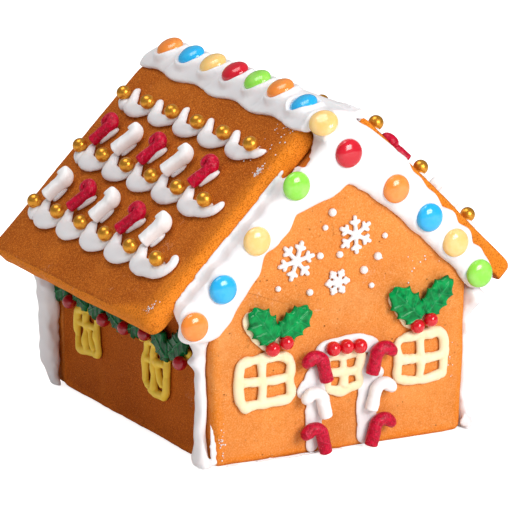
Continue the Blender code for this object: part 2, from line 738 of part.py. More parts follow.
def holly_sprig(place, x, z, length, angles):
    """Two leaves over two berries, on one dab of icing."""
    pieces = [dab(place, (x, z - 2.5), 7.0, 9.0)]
    pieces += [leaf(place, (x - 1.0, z - 1.5), angles[0], length, 12.5, lift=1.3),
               leaf(place, (x + 2.2, z + 0.2), angles[1], length, 12.5, lift=1.6)]
    pieces += [ball("berry", place, (x + dx, z + dz, 3.4), BERRY_RADIUS, CRIMSON)
               for dx, dz in ((-3.2, -5.7), (3.4, -3.4))]
    return pieces


def garland(name, place, level):
    """Holly leaves and berries in turn on dabs of icing, right under the eave."""
    step, first = 18.2, 30.0
    strip = [bead_ring((y, level - 3.2), (y, level + 3.2), GAP, 2.0, points=4)
             for y in np.linspace(first - 5, first + 6 * step + 5, 2)]
    vertices, faces = loft_between(place, strip)
    icing = make_solid(name, vertices, faces, CREAM)
    pieces = []
    for k in range(7):
        y = first + step * k
        tilt = math.radians(22 if k % 2 else -22)
        reach = 8.5
        base = (y - reach * math.cos(tilt), level - reach * math.sin(tilt))
        pieces.append(leaf(place, base, math.degrees(tilt), 2 * reach, 10.5, lift=1.5))
        if k < 6:
            bump = 1.0 if k % 2 else -1.0
            pieces.append(ball("berry", place, (y + step / 2, level + bump, 3.6), BERRY_RADIUS, CRIMSON))
    return unite(icing, pieces)


def front_windows():
    for word, x, z, width, height, sprig_x, sprig_z, length, angles in (
            ("left", -39.4, 37.0, 31.0, 24.5, -34.0, 58.4, 19.0, (129, 40)),
            ("right", 40.9, 38.2, 29.5, 25.5, 39.5, 59.5, 17.5, (132, 52))):
        window = lattice("window_front_" + word, on_front, (x, z), width, height)
        unite(window, holly_sprig(on_front, sprig_x, sprig_z, length, angles))


def doorway():
    """Icing posts and arch round a small lattice pane, three berries over it."""
    left, right, spring, top = -14.0, 13.0, 40.0, 51.0
    middle, half = (left + right) / 2, (right - left) / 2
    path = [(left, 0.3), (left + 0.5, 9.0), (left - 0.4, 18.0), (left + 0.3, 29.0), (left, spring)]
    path += [(middle - half * math.cos(t), spring + (top - spring) * math.sin(t))
             for t in np.linspace(0, math.pi, 7)[1:-1]]
    path += [(right, spring), (right - 0.4, 29.0), (right + 0.4, 18.0), (right - 0.4, 9.0), (right, 0.3)]
    path = np.array(path)
    tangent = np.gradient(path, axis=0)
    tangent /= np.linalg.norm(tangent, axis=1)[:, None]
    side_way = np.column_stack([-tangent[:, 1], tangent[:, 0]])
    rings = []
    for k, point in enumerate(path):
        half_width = 4.3 if point[1] < spring - 1 else 3.2
        if k in (0, len(path) - 1):
            side_way[k] = (side_way[k][0] / abs(side_way[k][0]), 0.0)
        rings.append(bead_ring(point - side_way[k] * half_width, point + side_way[k] * half_width,
                               GAP, 1.9, points=4))
    vertices, faces = loft_between(on_front, rings)
    frame = make_solid("doorway", vertices, faces, WHITE)
    pane = lattice("pane", on_front, (middle + 0.6, 35.5), 19.5, 20.0, bar=3.6, thick=1.7)
    berries = [ball("berry", on_front, (middle + dx, 48.6 + dz, 3.6), BERRY_RADIUS, CRIMSON)
               for dx, dz in ((-6.4, 0.0), (0.4, 0.4), (7.2, -0.2))]
    return unite(frame, [pane, *berries])


def door_canes():
    """Three canes up each post, hooks outwards: red, white, red."""
    for side, word, x in ((LEFT, "left", -10.2), (RIGHT, "right", 12.8)):
        for k, foot in enumerate((1.4, 17.9, 34.4)):
            finish = WHITE if k == 1 else CRIMSON
            shape = (side * 14, 8.9, 4.5, 155, side, 2.9)
            cane("cane_door_%s_%d" % (word, k + 1), on_front, (x, foot), shape, finish, lift=GAP + 2.2)


# ---------------------------------------------------------------- assembly
def build_plates():
    gable_wall("front_wall", False)
    gable_wall("back_wall", True)
    side_wall("left_wall", LEFT)
    side_wall("right_wall", RIGHT)
    roof_plate("left_roof", LEFT)
    roof_plate("right_roof", RIGHT)


def build_icing():
    on_ridge, on_gable = ridge_lentils(), gable_lentils(False)
    carve_sockets(ridge_icing(), on_ridge)
    carve_sockets(gable_icing("gable_icing_front", False), on_gable + on_ridge[-1:])
    set_lentils(on_ridge + on_gable)
    back = gable_icing("gable_icing_back", True)
    unite(back, [lentil(name, centre, axis, colour, steps=1)
                 for name, centre, axis, colour in gable_lentils(True)])
    for side, word in ((LEFT, "left"), (RIGHT, "right")):
        corner_icing("corner_icing_front_" + word, side, False)
        corner_icing("corner_icing_back_" + word, side, True)


def build_roof_sweets():
    for row in ROW_SLOPE:
        scallop_row("scallops_left_" + row, LEFT, row)
        scallop_row("scallops_right_" + row, RIGHT, row)
    roof_canes(LEFT, "upper", True, CANE_COUNT)
    roof_canes(LEFT, "lower", False, CANE_COUNT)
    roof_canes(RIGHT, "upper", True, 1)


def build_wall_sweets():
    front_windows()
    lattice("window_left_near", on_side(LEFT), (49.0, 33.0), 28.5, 25.0)
    lattice("window_left_rear", on_side(LEFT), (118.5, 33.5), 25.5, 21.5)
    garland("garland_left", on_side(LEFT), 52.0)
    doorway()
    door_canes()


clear_scene()
build_plates()
build_icing()
build_roof_sweets()
build_wall_sweets()
bpy.context.view_layer.update()
print("nodes:", len(bpy.context.scene.objects))
print("triangles:", sum(len(p.vertices) - 2 for o in bpy.context.scene.objects for p in o.data.polygons))
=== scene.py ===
# %% [markdown]
# # A small gingerbread house
# The baked plates, the icing and the sweets are dressed here, one kind after another. The packed
# model already says where everything is. Each step makes a finer surface in the same place and
# lets it stand for the plain solid. Lengths are in millimetres until `world` turns them into
# Blender's metres: x to the right, y from the front face to the back, z up.

# %% Load the frame
import itertools
import math

import bpy
import numpy as np
from mathutils import Matrix, Vector

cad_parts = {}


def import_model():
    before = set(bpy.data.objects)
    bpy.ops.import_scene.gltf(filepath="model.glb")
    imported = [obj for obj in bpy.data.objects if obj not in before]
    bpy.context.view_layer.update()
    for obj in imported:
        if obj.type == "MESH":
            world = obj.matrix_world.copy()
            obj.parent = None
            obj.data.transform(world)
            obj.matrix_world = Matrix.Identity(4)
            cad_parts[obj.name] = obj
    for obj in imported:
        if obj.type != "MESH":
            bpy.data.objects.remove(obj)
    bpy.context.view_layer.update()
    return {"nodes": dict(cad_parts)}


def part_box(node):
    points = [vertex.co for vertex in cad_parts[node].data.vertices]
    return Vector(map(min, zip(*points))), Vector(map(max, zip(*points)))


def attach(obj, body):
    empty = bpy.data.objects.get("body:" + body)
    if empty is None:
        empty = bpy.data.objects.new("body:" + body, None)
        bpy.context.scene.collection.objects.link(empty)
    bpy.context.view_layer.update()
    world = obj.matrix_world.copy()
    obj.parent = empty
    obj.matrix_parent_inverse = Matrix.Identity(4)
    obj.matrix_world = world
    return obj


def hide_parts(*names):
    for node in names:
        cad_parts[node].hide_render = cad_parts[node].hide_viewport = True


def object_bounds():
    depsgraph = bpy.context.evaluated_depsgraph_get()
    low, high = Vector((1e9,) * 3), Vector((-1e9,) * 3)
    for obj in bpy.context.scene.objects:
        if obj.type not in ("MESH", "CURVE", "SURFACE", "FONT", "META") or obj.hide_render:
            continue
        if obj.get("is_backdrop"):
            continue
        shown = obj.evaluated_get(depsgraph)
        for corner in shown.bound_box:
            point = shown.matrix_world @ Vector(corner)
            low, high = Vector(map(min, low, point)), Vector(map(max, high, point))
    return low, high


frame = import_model()
MM = 0.001
FRONT_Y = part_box("front_wall")[0].y
HOUSE_DEPTH = (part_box("back_wall")[1].y - FRONT_Y) / MM
WALL_WIDTH = (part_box("front_wall")[1].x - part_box("front_wall")[0].x) / MM
print("house %.1f mm deep, walls %.1f mm wide," % (HOUSE_DEPTH, WALL_WIDTH), len(frame["nodes"]), "nodes")

# %% [markdown]
# ## Places
# A roof plate is easier to decorate in its own coordinates than in the world's: so many
# millimetres along it, so many down its slope, so many above its crust. A place is a function
# that takes such numbers, as whole arrays, and gives points in the world. The same piping then
# works on a roof, on a gable or on a side wall.

# %% Places
LEFT, RIGHT = -1, 1
PLATE = 9.5                 # thickness of a baked plate
RIDGE_HEIGHT = 164.2        # where the top faces of the two roof plates would meet
HALF_SPAN = 95.8            # from the middle of the house out to an eave
ROOF_FRONT, ROOF_BACK = 6.5, 164.0      # the roof plates' ends, behind the house's front face
ROOF_START = 20.0           # from the meeting line down to a plate's upper edge
PITCH = {LEFT: math.radians(45.2), RIGHT: math.radians(44.1)}
DOME = {LEFT: 1.8, RIGHT: 0.9}          # how far a roof plate swells in its middle
SIDES = {LEFT: "left", RIGHT: "right"}


def world(x, y, z):
    """House millimetres to metres in the frame."""
    x, y, z = np.broadcast_arrays(x, y, z)
    return np.stack([x * MM, FRONT_Y + y * MM, z * MM], axis=-1)


def smoothstep(t):
    """3t² - 2t³: a soft step from 0 to 1, level at both ends."""
    t = np.clip(t, 0.0, 1.0)
    return t * t * (3 - 2 * t)


def slope_length(side):
    """From the meeting line down a roof plate to its eave."""
    return HALF_SPAN / math.cos(PITCH[side])


def over_plate(side, slope, height):
    """(x, z) in house millimetres at a slope distance down a roof plate and a height square to it."""
    pitch = PITCH[side]
    return np.array([side * (slope * math.cos(pitch) + height * math.sin(pitch)),
                     RIDGE_HEIGHT - slope * math.sin(pitch) + height * math.cos(pitch)])


def roof_plane(side, along, slope, height):
    """A point over a roof's flat top plane; `along` runs left to right seen from outside."""
    x, z = over_plate(side, slope, height)
    return world(x, ROOF_BACK - along if side == LEFT else ROOF_FRONT + along, z)


def roof_swell(side, along, slope):
    """The baked dome: a product of two parabolas, highest in the plate's middle."""
    a = np.clip(along / (ROOF_BACK - ROOF_FRONT), 0, 1)
    b = np.clip((slope - ROOF_START) / (slope_length(side) - ROOF_START), 0, 1)
    return DOME[side] * 16 * a * (1 - a) * b * (1 - b)


def on_roof(side):
    """On a roof plate: along it, up its slope (so minus the distance down), height over the crust."""
    return lambda a, b, h: roof_plane(side, a, -b, h + roof_swell(side, a, -b))


def on_front(a, b, h):
    """On the front wall: across, up, height over the crust."""
    return world(a, -h, b)


def on_back(a, b, h):
    """On the back wall; seen from behind, a runs to the right as on every other wall."""
    return world(-a, HOUSE_DEPTH + h, b)


def through_back(a, b, h):
    """On the back wall in the front wall's own numbers, as if seen through the house."""
    return world(a, HOUSE_DEPTH + h, b)


def on_side(side):
    """On a side wall: towards the back, up, height over the crust."""
    return lambda a, b, h: world(side * (WALL_WIDTH / 2 + h), a, b)


def under_roof(x):
    """Height of the roof plates' underside, x millimetres from the middle of the house."""
    pitch = np.where(np.asarray(x) < 0, PITCH[LEFT], PITCH[RIGHT])
    return RIDGE_HEIGHT - PLATE / np.cos(pitch) - np.abs(x) * np.tan(pitch)


# %% [markdown]
# ## Unevenness
# Nothing here was made by a machine: dough swells, icing sags. Value noise gives that. Every
# corner of an imaginary lattice gets a random number, and a point between the corners blends the
# eight around it with an S-curve. The random number comes from the corner's own whole-numbered
# position, so it is the same in every run.

# %% Noise in space
def corner_value(cell, seed):
    """A repeatable number from -1 to 1 for each whole-numbered lattice corner."""
    mixed = cell @ np.array([374761393, 668265263, 1103515245], dtype=np.int64) + seed * 974634777
    mixed = (mixed ^ (mixed >> 13)) * 1274126177
    return ((mixed ^ (mixed >> 16)) & 0xFFFF) / 32767.5 - 1.0


def noise(points, scale, seed=0):
    """Smooth value noise from -1 to 1 at points in millimetres; features are `scale` apart."""
    spot = np.asarray(points, float) / scale
    cell = np.floor(spot).astype(np.int64)
    share = smoothstep(spot - cell)
    total = np.zeros(spot.shape[:-1])
    for corner in itertools.product((0, 1), repeat=3):
        weight = np.prod(np.where(corner, share, 1 - share), axis=-1)
        total += weight * corner_value(cell + np.array(corner), seed)
    return total


# %% [markdown]
# ## From grids to meshes
# Almost every piece below is a row of rings: the same closed outline carried along a path. A
# grid of points with rings as rows becomes a closed shell when neighbouring rings are joined with
# quads and the two ends with a fan. Which way its faces point shows in the shell's volume: it
# is positive when they point outwards, so a shell with a negative one is turned round.

# %% Shells
def close_rings(grid):
    """(points, quads, triangles) of the closed skin over rings of points, facing outwards."""
    rings, around = grid.shape[:2]
    index = np.arange(rings * around).reshape(rings, around)
    beside = np.roll(index, -1, axis=1)
    quads = np.stack([index[:-1], beside[:-1], beside[1:], index[1:]], axis=-1).reshape(-1, 4)
    ends = np.stack([grid[0].mean(axis=0), grid[-1].mean(axis=0)])
    points = np.concatenate([grid.reshape(-1, 3), ends])
    first = np.column_stack([beside[0], index[0], np.full(around, rings * around)])
    last = np.column_stack([index[-1], beside[-1], np.full(around, rings * around + 1)])
    triangles = np.concatenate([first, last])
    a, b, c, d = (points[quads[:, k]] for k in range(4))
    volume = np.einsum("ij,ij->", a, np.cross(b, c)) + np.einsum("ij,ij->", a, np.cross(c, d))
    if volume < 0:
        quads, triangles = quads[:, ::-1], triangles[:, ::-1]
    return points, quads, triangles


def join_shells(shells):
    """Several shells as one, each one's face numbers moved up by the points before it."""
    points, quads, triangles, count = [], [], [], 0
    for some_points, some_quads, some_triangles in shells:
        points.append(some_points)
        quads.append(some_quads + count)
        triangles.append(some_triangles + count)
        count += len(some_points)
    return np.concatenate(points), np.concatenate(quads), np.concatenate(triangles)


def mesh_from(name, shell):
    """A Blender mesh filled with whole arrays."""
    points, quads, triangles = shell
    mesh = bpy.data.meshes.new(name)
    mesh.vertices.add(len(points))
    mesh.vertices.foreach_set("co", points.astype(np.float32).ravel())
    corners = np.concatenate([quads.ravel(), triangles.ravel()]).astype(np.int32)
    mesh.loops.add(len(corners))
    mesh.loops.foreach_set("vertex_index", corners)
    starts = np.concatenate([np.arange(len(quads)) * 4, len(quads) * 4 + np.arange(len(triangles)) * 3])
    mesh.polygons.add(len(starts))
    mesh.polygons.foreach_set("loop_start", starts.astype(np.int32))
    mesh.update(calc_edges=True)
    mesh.validate()
    return mesh


def vertex_values(mesh, name, values):
    """Hand the mesh one number per vertex, for its finish to read by that name."""
    mesh.attributes.new(name, 'FLOAT', 'POINT').data.foreach_set("value", values.astype(np.float32))


# %% [markdown]
# ## Running icing together
# Wet icing flows into its neighbour and leaves one soft skin. Strokes that only overlap keep a
# hard line where they meet. A voxel remesh takes the outside of all the strokes at once, and a
# few passes of smoothing round off the seam, as surface tension does.

# %% Melting strokes into one skin
def points_of(mesh):
    """All vertices as rows of (x, y, z)."""
    flat = np.empty(len(mesh.vertices) * 3, np.float32)
    mesh.vertices.foreach_get("co", flat)
    return flat.reshape(-1, 3).astype(float)


def melt(name, shells, voxel=0.45, passes=6):
    """One smooth mesh round several overlapping shells; `voxel` is in millimetres."""
    lump = bpy.data.objects.new(name, mesh_from(name, join_shells(shells)))
    bpy.context.scene.collection.objects.link(lump)
    merge = lump.modifiers.new("merge", 'REMESH')
    merge.mode = 'VOXEL'
    merge.voxel_size = voxel * MM
    soften = lump.modifiers.new("soften", 'SMOOTH')
    soften.factor = 0.5
    soften.iterations = passes
    evaluated = lump.evaluated_get(bpy.context.evaluated_depsgraph_get())
    mesh = bpy.data.meshes.new_from_object(evaluated)
    bpy.data.objects.remove(lump, do_unlink=True)
    return mesh


def push(mesh, distance):
    """Move every vertex along its normal; `distance` takes points in millimetres and gives millimetres."""
    points = points_of(mesh)
    normals = np.empty(len(points) * 3, np.float32)
    mesh.vertex_normals.foreach_get("vector", normals)
    moved = points + normals.reshape(-1, 3) * (distance(points / MM) * MM)[:, None]
    mesh.vertices.foreach_set("co", moved.astype(np.float32).ravel())
    mesh.update()
    return mesh


made = {"pieces": 0, "triangles": 0}


def piece(name, mesh, material, nodes=()):
    """Show a mesh as a piece of the house, in place of the nodes it stands for."""
    if not isinstance(mesh, bpy.types.Mesh):
        mesh = mesh_from(name, join_shells(mesh))
    mesh.name = name
    mesh.shade_smooth()
    mesh.materials.clear()
    mesh.materials.append(material)
    obj = bpy.data.objects.new(name, mesh)
    bpy.context.scene.collection.objects.link(obj)
    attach(obj, "root")
    if nodes:
        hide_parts(*nodes)
    made["pieces"] += 1
    made["triangles"] += len(mesh.loops) - 2 * len(mesh.polygons)
    return obj


# %% [markdown]
# ## Finishes
# A finish is a small network of nodes. It reads Object coordinates, so a speck stays the same
# size on every piece, whichever way the piece faces. Baked dough needs the most: broad patches
# of browning, crumb about a millimetre across, a few dark pinholes and pale dusty spots. Where a
# piece knows more than its place, such as how strongly an edge was baked, it hands the finish a
# value per vertex.

# %% Node helpers
def new_finish(name, roughness=0.5, **sockets):
    """A material and its Principled shader, with plain values set straight on the sockets."""
    material = bpy.data.materials.new(name)
    material.use_nodes = True
    shader = material.node_tree.nodes["Principled BSDF"]
    shader.inputs["Roughness"].default_value = roughness
    for socket, value in sockets.items():
        shader.inputs[socket.replace("_", " ")].default_value = value
    return material, shader


def add(material, kind, **settings):
    """One node; names of its properties and input sockets are given together."""
    node = material.node_tree.nodes.new("ShaderNode" + kind)
    for key, value in settings.items():
        if hasattr(node, key):
            setattr(node, key, value)
        else:
            node.inputs[key.replace("_", " ")].default_value = value
    return node


def wire(material, source, target):
    """Feed an input socket with another node's output, a colour or a plain number."""
    if isinstance(source, bpy.types.NodeSocket):
        material.node_tree.links.new(target, source)
    else:
        target.default_value = (*source, 1.0) if isinstance(source, tuple) else source


def grain(material, scale, detail=2.0, roughness=0.55):
    """Cloudy noise, `scale` features to the metre, as a value from 0 to 1."""
    where = add(material, "TexCoord")
    texture = add(material, "TexNoise", Scale=scale, Detail=detail, Roughness=roughness)
    wire(material, where.outputs["Object"], texture.inputs["Vector"])
    return texture.outputs["Fac"]


def spots(material, scale, low, high):
    """Round spots around scattered points: 1 inside, fading out from `low` to `high`."""
    where = add(material, "TexCoord")
    texture = add(material, "TexVoronoi", Scale=scale)
    wire(material, where.outputs["Object"], texture.inputs["Vector"])
    return ramp(material, texture.outputs["Distance"], low, high, 1.0, 0.0)


def ramp(material, value, low, high, start=0.0, end=1.0):
    """Values from low to high become start to end, and stay there outside."""
    node = add(material, "MapRange", clamp=True)
    wire(material, value, node.inputs["Value"])
    for socket, number in zip(("From Min", "From Max", "To Min", "To Max"), (low, high, start, end)):
        node.inputs[socket].default_value = number
    return node.outputs["Result"]


def mix(material, share, first, second):
    """Two colours mixed by a share; each is a socket or a plain value."""
    node = add(material, "Mix", data_type='RGBA')
    for socket, value in zip((0, 6, 7), (share, first, second)):
        wire(material, value, node.inputs[socket])
    return node.outputs[2]


def times(material, first, second):
    """The product of two values; each is a socket or a plain number."""
    node = add(material, "Math", operation='MULTIPLY')
    for socket, value in zip(node.inputs, (first, second)):
        wire(material, value, socket)
    return node.outputs[0]


def bump(material, shader, heights):
    """Relief from several (value, depth in millimetres) pairs, one bump node after another."""
    normal = None
    for value, depth in heights:
        node = add(material, "Bump", Strength=1.0, Distance=depth * MM)
        wire(material, value, node.inputs["Height"])
        if normal is not None:
            wire(material, normal, node.inputs["Normal"])
        normal = node.outputs["Normal"]
    wire(material, normal, shader.inputs["Normal"])


# %% [markdown]
# ### Baked dough
# The front of the house is a light orange brown with a sandy crumb, and rounded edges are a
# stronger orange where the syrup in the dough caught the heat. Roof and side walls are the same
# dough in darker, more saturated copies: painted shade, for the shade in which the roof and the
# left wall lie. One function makes all three, from their colours. It lays one thin layer over
# another: browning, baked edge, crumb, pale sugar specks that also paint a sparkle of light, pale
# clouds, pinholes and cracks painted near black as the shade inside them, and dust. The value
# `bake` on the vertices says where the edge begins.

# %% Gingerbread
def hairlines(material, scale, width, mask):
    """Short cracks: the borders between scattered cells, `width` wide, where a mask lets them show."""
    where = add(material, "TexCoord")
    warp = add(material, "TexNoise", Scale=scale * 2.5, Detail=3.0)
    wire(material, where.outputs["Object"], warp.inputs["Vector"])
    shift = add(material, "VectorMath", operation='MULTIPLY_ADD')
    wire(material, warp.outputs["Color"], shift.inputs[0])
    shift.inputs[1].default_value = (0.5 / scale,) * 3
    wire(material, where.outputs["Object"], shift.inputs[2])
    cells = add(material, "TexVoronoi", feature='DISTANCE_TO_EDGE', Scale=scale)
    wire(material, shift.outputs["Vector"], cells.inputs["Vector"])
    return times(material, ramp(material, cells.outputs["Distance"], 0.0, width, 1.0, 0.0), mask)


def gingerbread(name, face, edge, deep, pale, crumb_share, gloss=0.08):
    """Baked dough: colours of the face, the baked edge, the dark crumb and the pale crumb."""
    material, shader = new_finish(name, roughness=0.70, Specular_IOR_Level=gloss)
    bake = add(material, "Attribute", attribute_name="bake").outputs["Fac"]
    patches = ramp(material, grain(material, 42.0, 4.0, 0.6), 0.34, 0.68)
    mottle = grain(material, 330.0, 3.0, 0.65)
    crumb = grain(material, 1500.0, 2.0, 0.75)
    # Broad browning, the baked edge, then mottling and the dark and the pale side of the crumb.
    colour = mix(material, times(material, patches, 0.45), face, deep)
    colour = mix(material, bake, colour, edge)
    colour = mix(material, times(material, ramp(material, mottle, 0.52, 0.74), 0.32), colour, deep)
    colour = mix(material, times(material, ramp(material, crumb, 0.51, 0.64), crumb_share), colour, deep)
    colour = mix(material, times(material, ramp(material, crumb, 0.49, 0.36), crumb_share), colour, pale)
    # Pale sugar specks, brightened to paint a sparkle of light on them, and pale clouds.
    specks_and_painted_glints = times(material, spots(material, 620.0, 0.06, 0.20),
                   ramp(material, grain(material, 130.0), 0.50, 0.62))
    bright = tuple(min(1.0, 1.25 * c + 0.07) for c in pale)
    colour = mix(material, times(material, specks_and_painted_glints, 0.50), colour, bright)
    clouds = ramp(material, grain(material, 24.0, 5.0, 0.7), 0.54, 0.70)
    colour = mix(material, times(material, clouds, 0.24), colour, pale)
    # Pinholes and cracks are sunk in and painted near black, as painted shade inside them; dust lies on top
    # of everything.
    holes = times(material, spots(material, 300.0, 0.03, 0.16),
                  ramp(material, grain(material, 100.0), 0.50, 0.60))
    cracks = hairlines(material, 120.0, 0.030, ramp(material, grain(material, 75.0, 2.0), 0.62, 0.70))
    # Near black: painted shade inside the pinholes and cracks.
    dark = tuple(c * 0.22 for c in deep)
    colour = mix(material, times(material, holes, 0.65), colour, dark)
    colour = mix(material, times(material, cracks, 0.35), colour, dark)
    dust = times(material, ramp(material, grain(material, 55.0, 4.0, 0.65), 0.62, 0.74),
                 ramp(material, grain(material, 900.0, 3.0, 0.8), 0.52, 0.66))
    colour = mix(material, times(material, dust, 0.55), colour, (0.92, 0.72, 0.55))
    wire(material, colour, shader.inputs["Base Color"])
    bump(material, shader, [(mottle, 0.35), (crumb, 0.30), (holes, -0.35), (cracks, -0.15)])
    return material


WALL_CRUST = gingerbread("gingerbread_wall", face=(0.84, 0.285, 0.060), edge=(0.80, 0.225, 0.018),
                         deep=(0.56, 0.150, 0.020), pale=(0.93, 0.50, 0.21), crumb_share=0.34)
# The side walls: the same dough in a darker, more saturated copy, as painted shade.
SHADED_SIDE_CRUST = gingerbread("gingerbread_side_painted_shade", face=(0.50, 0.108, 0.0085), edge=(0.66, 0.155, 0.011),
                         deep=(0.30, 0.052, 0.003), pale=(0.74, 0.200, 0.026), crumb_share=0.70, gloss=0.05)
# The roof: the same dough in a darker, more saturated copy, as painted shade.
SHADED_ROOF_CRUST = gingerbread("gingerbread_roof", face=(0.52, 0.125, 0.012), edge=(0.82, 0.235, 0.016),
                         deep=(0.30, 0.055, 0.004), pale=(0.82, 0.270, 0.038), crumb_share=0.70, gloss=0.05)

# %% [markdown]
# ### Icing and sugar
# Set icing is nearly white and lets a little light in, so its shadows stay soft and faintly
# lilac. Piped icing for the windows is cream; on the side walls it is a mustard copy of the cream,
# darker and more saturated, as painted shade. Lentils and berries have a polished sugar shell: an
# even colour, a sharp highlight and a faint marbling. The canes are pressed from coloured sugar and
# keep its grain, whose pale specks also paint the sparkle of light on it, and the pearls are dusted
# with gold.

# %% Icing
def icing(name, colour, shade, roughness=0.38):
    """Icing: soft clouds of a second shade, light that enters a little, and faint ripples."""
    material, shader = new_finish(name, roughness=roughness, Subsurface_Weight=0.30, Subsurface_Scale=0.004,
                                  Specular_IOR_Level=0.45)
    shader.inputs["Subsurface Radius"].default_value = (1.0, 0.75, 0.7)
    cloud = ramp(material, grain(material, 120.0, 2.0), 0.35, 0.70)
    wire(material, mix(material, times(material, cloud, 0.5), colour, shade), shader.inputs["Base Color"])
    bump(material, shader, [(grain(material, 260.0, 2.0), 0.18), (grain(material, 1400.0, 1.0), 0.025)])
    return material


WHITE_ICING = icing("white_icing", (0.90, 0.87, 0.885), (0.86, 0.825, 0.855))
CREAM_ICING = icing("cream_icing", (0.95, 0.81, 0.58), (0.93, 0.72, 0.37), 0.45)
# A mustard copy of the cream icing for the side walls: painted shade.
SHADED_CREAM_ICING = icing("cream_icing_painted_shade", (0.98, 0.66, 0.055), (0.90, 0.54, 0.022), 0.50)


# %% Polished sugar shells
def sugar_shell(name, colour, pale):
    """A polished shell: one colour, marbled with a paler one, under a clear coat."""
    material, shader = new_finish(name, roughness=0.16, Specular_IOR_Level=0.55, Coat_Weight=0.35,
                                  Coat_Roughness=0.06, Subsurface_Weight=0.12, Subsurface_Scale=0.002)
    marble = ramp(material, grain(material, 210.0, 3.0), 0.42, 0.72)
    wire(material, mix(material, times(material, marble, 0.5), colour, pale), shader.inputs["Base Color"])
    bump(material, shader, [(grain(material, 330.0, 1.0), 0.06)])
    return material


SHELLS = {
    "orange": sugar_shell("lentil_orange", (0.90, 0.26, 0.035), (0.95, 0.42, 0.12)),
    "blue": sugar_shell("lentil_blue", (0.015, 0.44, 0.86), (0.07, 0.56, 0.90)),
    "yellow": sugar_shell("lentil_yellow", (0.95, 0.60, 0.19), (0.97, 0.76, 0.42)),
    "red": sugar_shell("lentil_red", (0.62, 0.004, 0.020), (0.72, 0.02, 0.04)),
    "green": sugar_shell("lentil_green", (0.27, 0.74, 0.06), (0.46, 0.84, 0.22)),
}
BERRY_RED = sugar_shell("berry_red", (0.66, 0.002, 0.012), (0.76, 0.012, 0.022))
# A darker copy of the berry red for the side walls: painted shade.
SHADED_BERRY = sugar_shell("berry_painted_shade", (0.40, 0.0, 0.010), (0.46, 0.004, 0.014))


# %% Pressed sugar
def pressed_sugar(name, colour, pale, dark, depth, lines_share):
    """Grainy sugar, its pale grains also a painted sparkle of light, with fine pale lines that climb round
    the cane, from its own value `twist`.
    """
    material, shader = new_finish(name, roughness=0.28, Specular_IOR_Level=0.26)
    grains = grain(material, 1300.0, 2.0, 0.6)
    colour = mix(material, ramp(material, grain(material, 640.0, 3.0, 0.7), 0.36, 0.58), dark, colour)
    # Pale grains of sugar, in a colour that also paints the sparkle of light on them: painted highlight.
    colour = mix(material, times(material, ramp(material, grains, 0.60, 0.76), 0.75), colour, pale)
    twist = add(material, "Attribute", attribute_name="twist").outputs["Fac"]
    lines = times(material, ramp(material, twist, 0.90, 1.0),
                  ramp(material, grain(material, 300.0), 0.42, 0.60))
    colour = mix(material, times(material, lines, lines_share), colour, pale)
    wire(material, colour, shader.inputs["Base Color"])
    bump(material, shader, [(grains, depth), (grain(material, 420.0), depth * 0.8)])
    return material


RED_SUGAR = pressed_sugar("red_sugar", (0.60, 0.0, 0.034), pale=(0.95, 0.10, 0.20),
                          dark=(0.34, 0.0, 0.014), depth=0.32, lines_share=0.28)
WHITE_SUGAR = pressed_sugar("white_sugar", (0.93, 0.915, 0.92), pale=(0.95, 0.94, 0.94),
                            dark=(0.90, 0.88, 0.89), depth=0.06, lines_share=0.3)


# %% Leaves and pearls
def holly(name, share=1.0):
    """Two greens in soft clouds, paler on the veins, partly as painted highlight; a small `share` darkens the
    leaf as painted shade.
    """
    material, shader = new_finish(name, roughness=0.15, Specular_IOR_Level=0.20)
    vein = add(material, "Attribute", attribute_name="vein").outputs["Fac"]
    cloud = ramp(material, grain(material, 300.0, 2.0), 0.35, 0.7)
    colour = mix(material, cloud, (0.0, 0.33 * share, 0.075 * share), (0.0, 0.115 * share, 0.026 * share))
    # Paler veins: partly their own colour, partly painted highlight on the raised lines.
    colour = mix(material, times(material, vein, 0.24), colour, (0.04, 0.46, 0.17))
    wire(material, colour, shader.inputs["Base Color"])
    bump(material, shader, [(grain(material, 900.0, 2.0), 0.09)])
    return material


def gold_pearl(name):
    """Gold dust on sugar: a metal whose colour changes with a fine grain."""
    material, shader = new_finish(name, roughness=0.34, Metallic=0.80)
    dust = ramp(material, grain(material, 1500.0, 2.0), 0.35, 0.75)
    colour = mix(material, dust, (0.86, 0.40, 0.045), (0.66, 0.25, 0.018))
    wire(material, colour, shader.inputs["Base Color"])
    bump(material, shader, [(grain(material, 1200.0, 1.0), 0.035)])
    return material


LEAF_GREEN = holly("holly_green")
# A darker copy of the holly for the garlands on the side walls: painted shade.
SHADED_LEAF = holly("holly_painted_shade", 0.36)
GOLD = gold_pearl("gold_pearl")
print("finishes:", len(bpy.data.materials))

# %% [markdown]
# ## The baked plates
# A rolled plate of dough has a flat underside with a small round, straight sides and a large
# round on its baked face. So its skin is one outline, carried from the middle of the underside
# out to the rim, up the side and back to the middle of the face. The outline is drawn a little
# short in places and the face is lowered by noise, because a knife wanders and dough settles.
# Everything only moves inwards, so the plate never outgrows its solid.

# %% Plates
def distance_along(path):
    """How far each point of a path lies from its start, along the path."""
    return np.concatenate([[0], np.cumsum(np.linalg.norm(np.diff(path, axis=0), axis=1))])


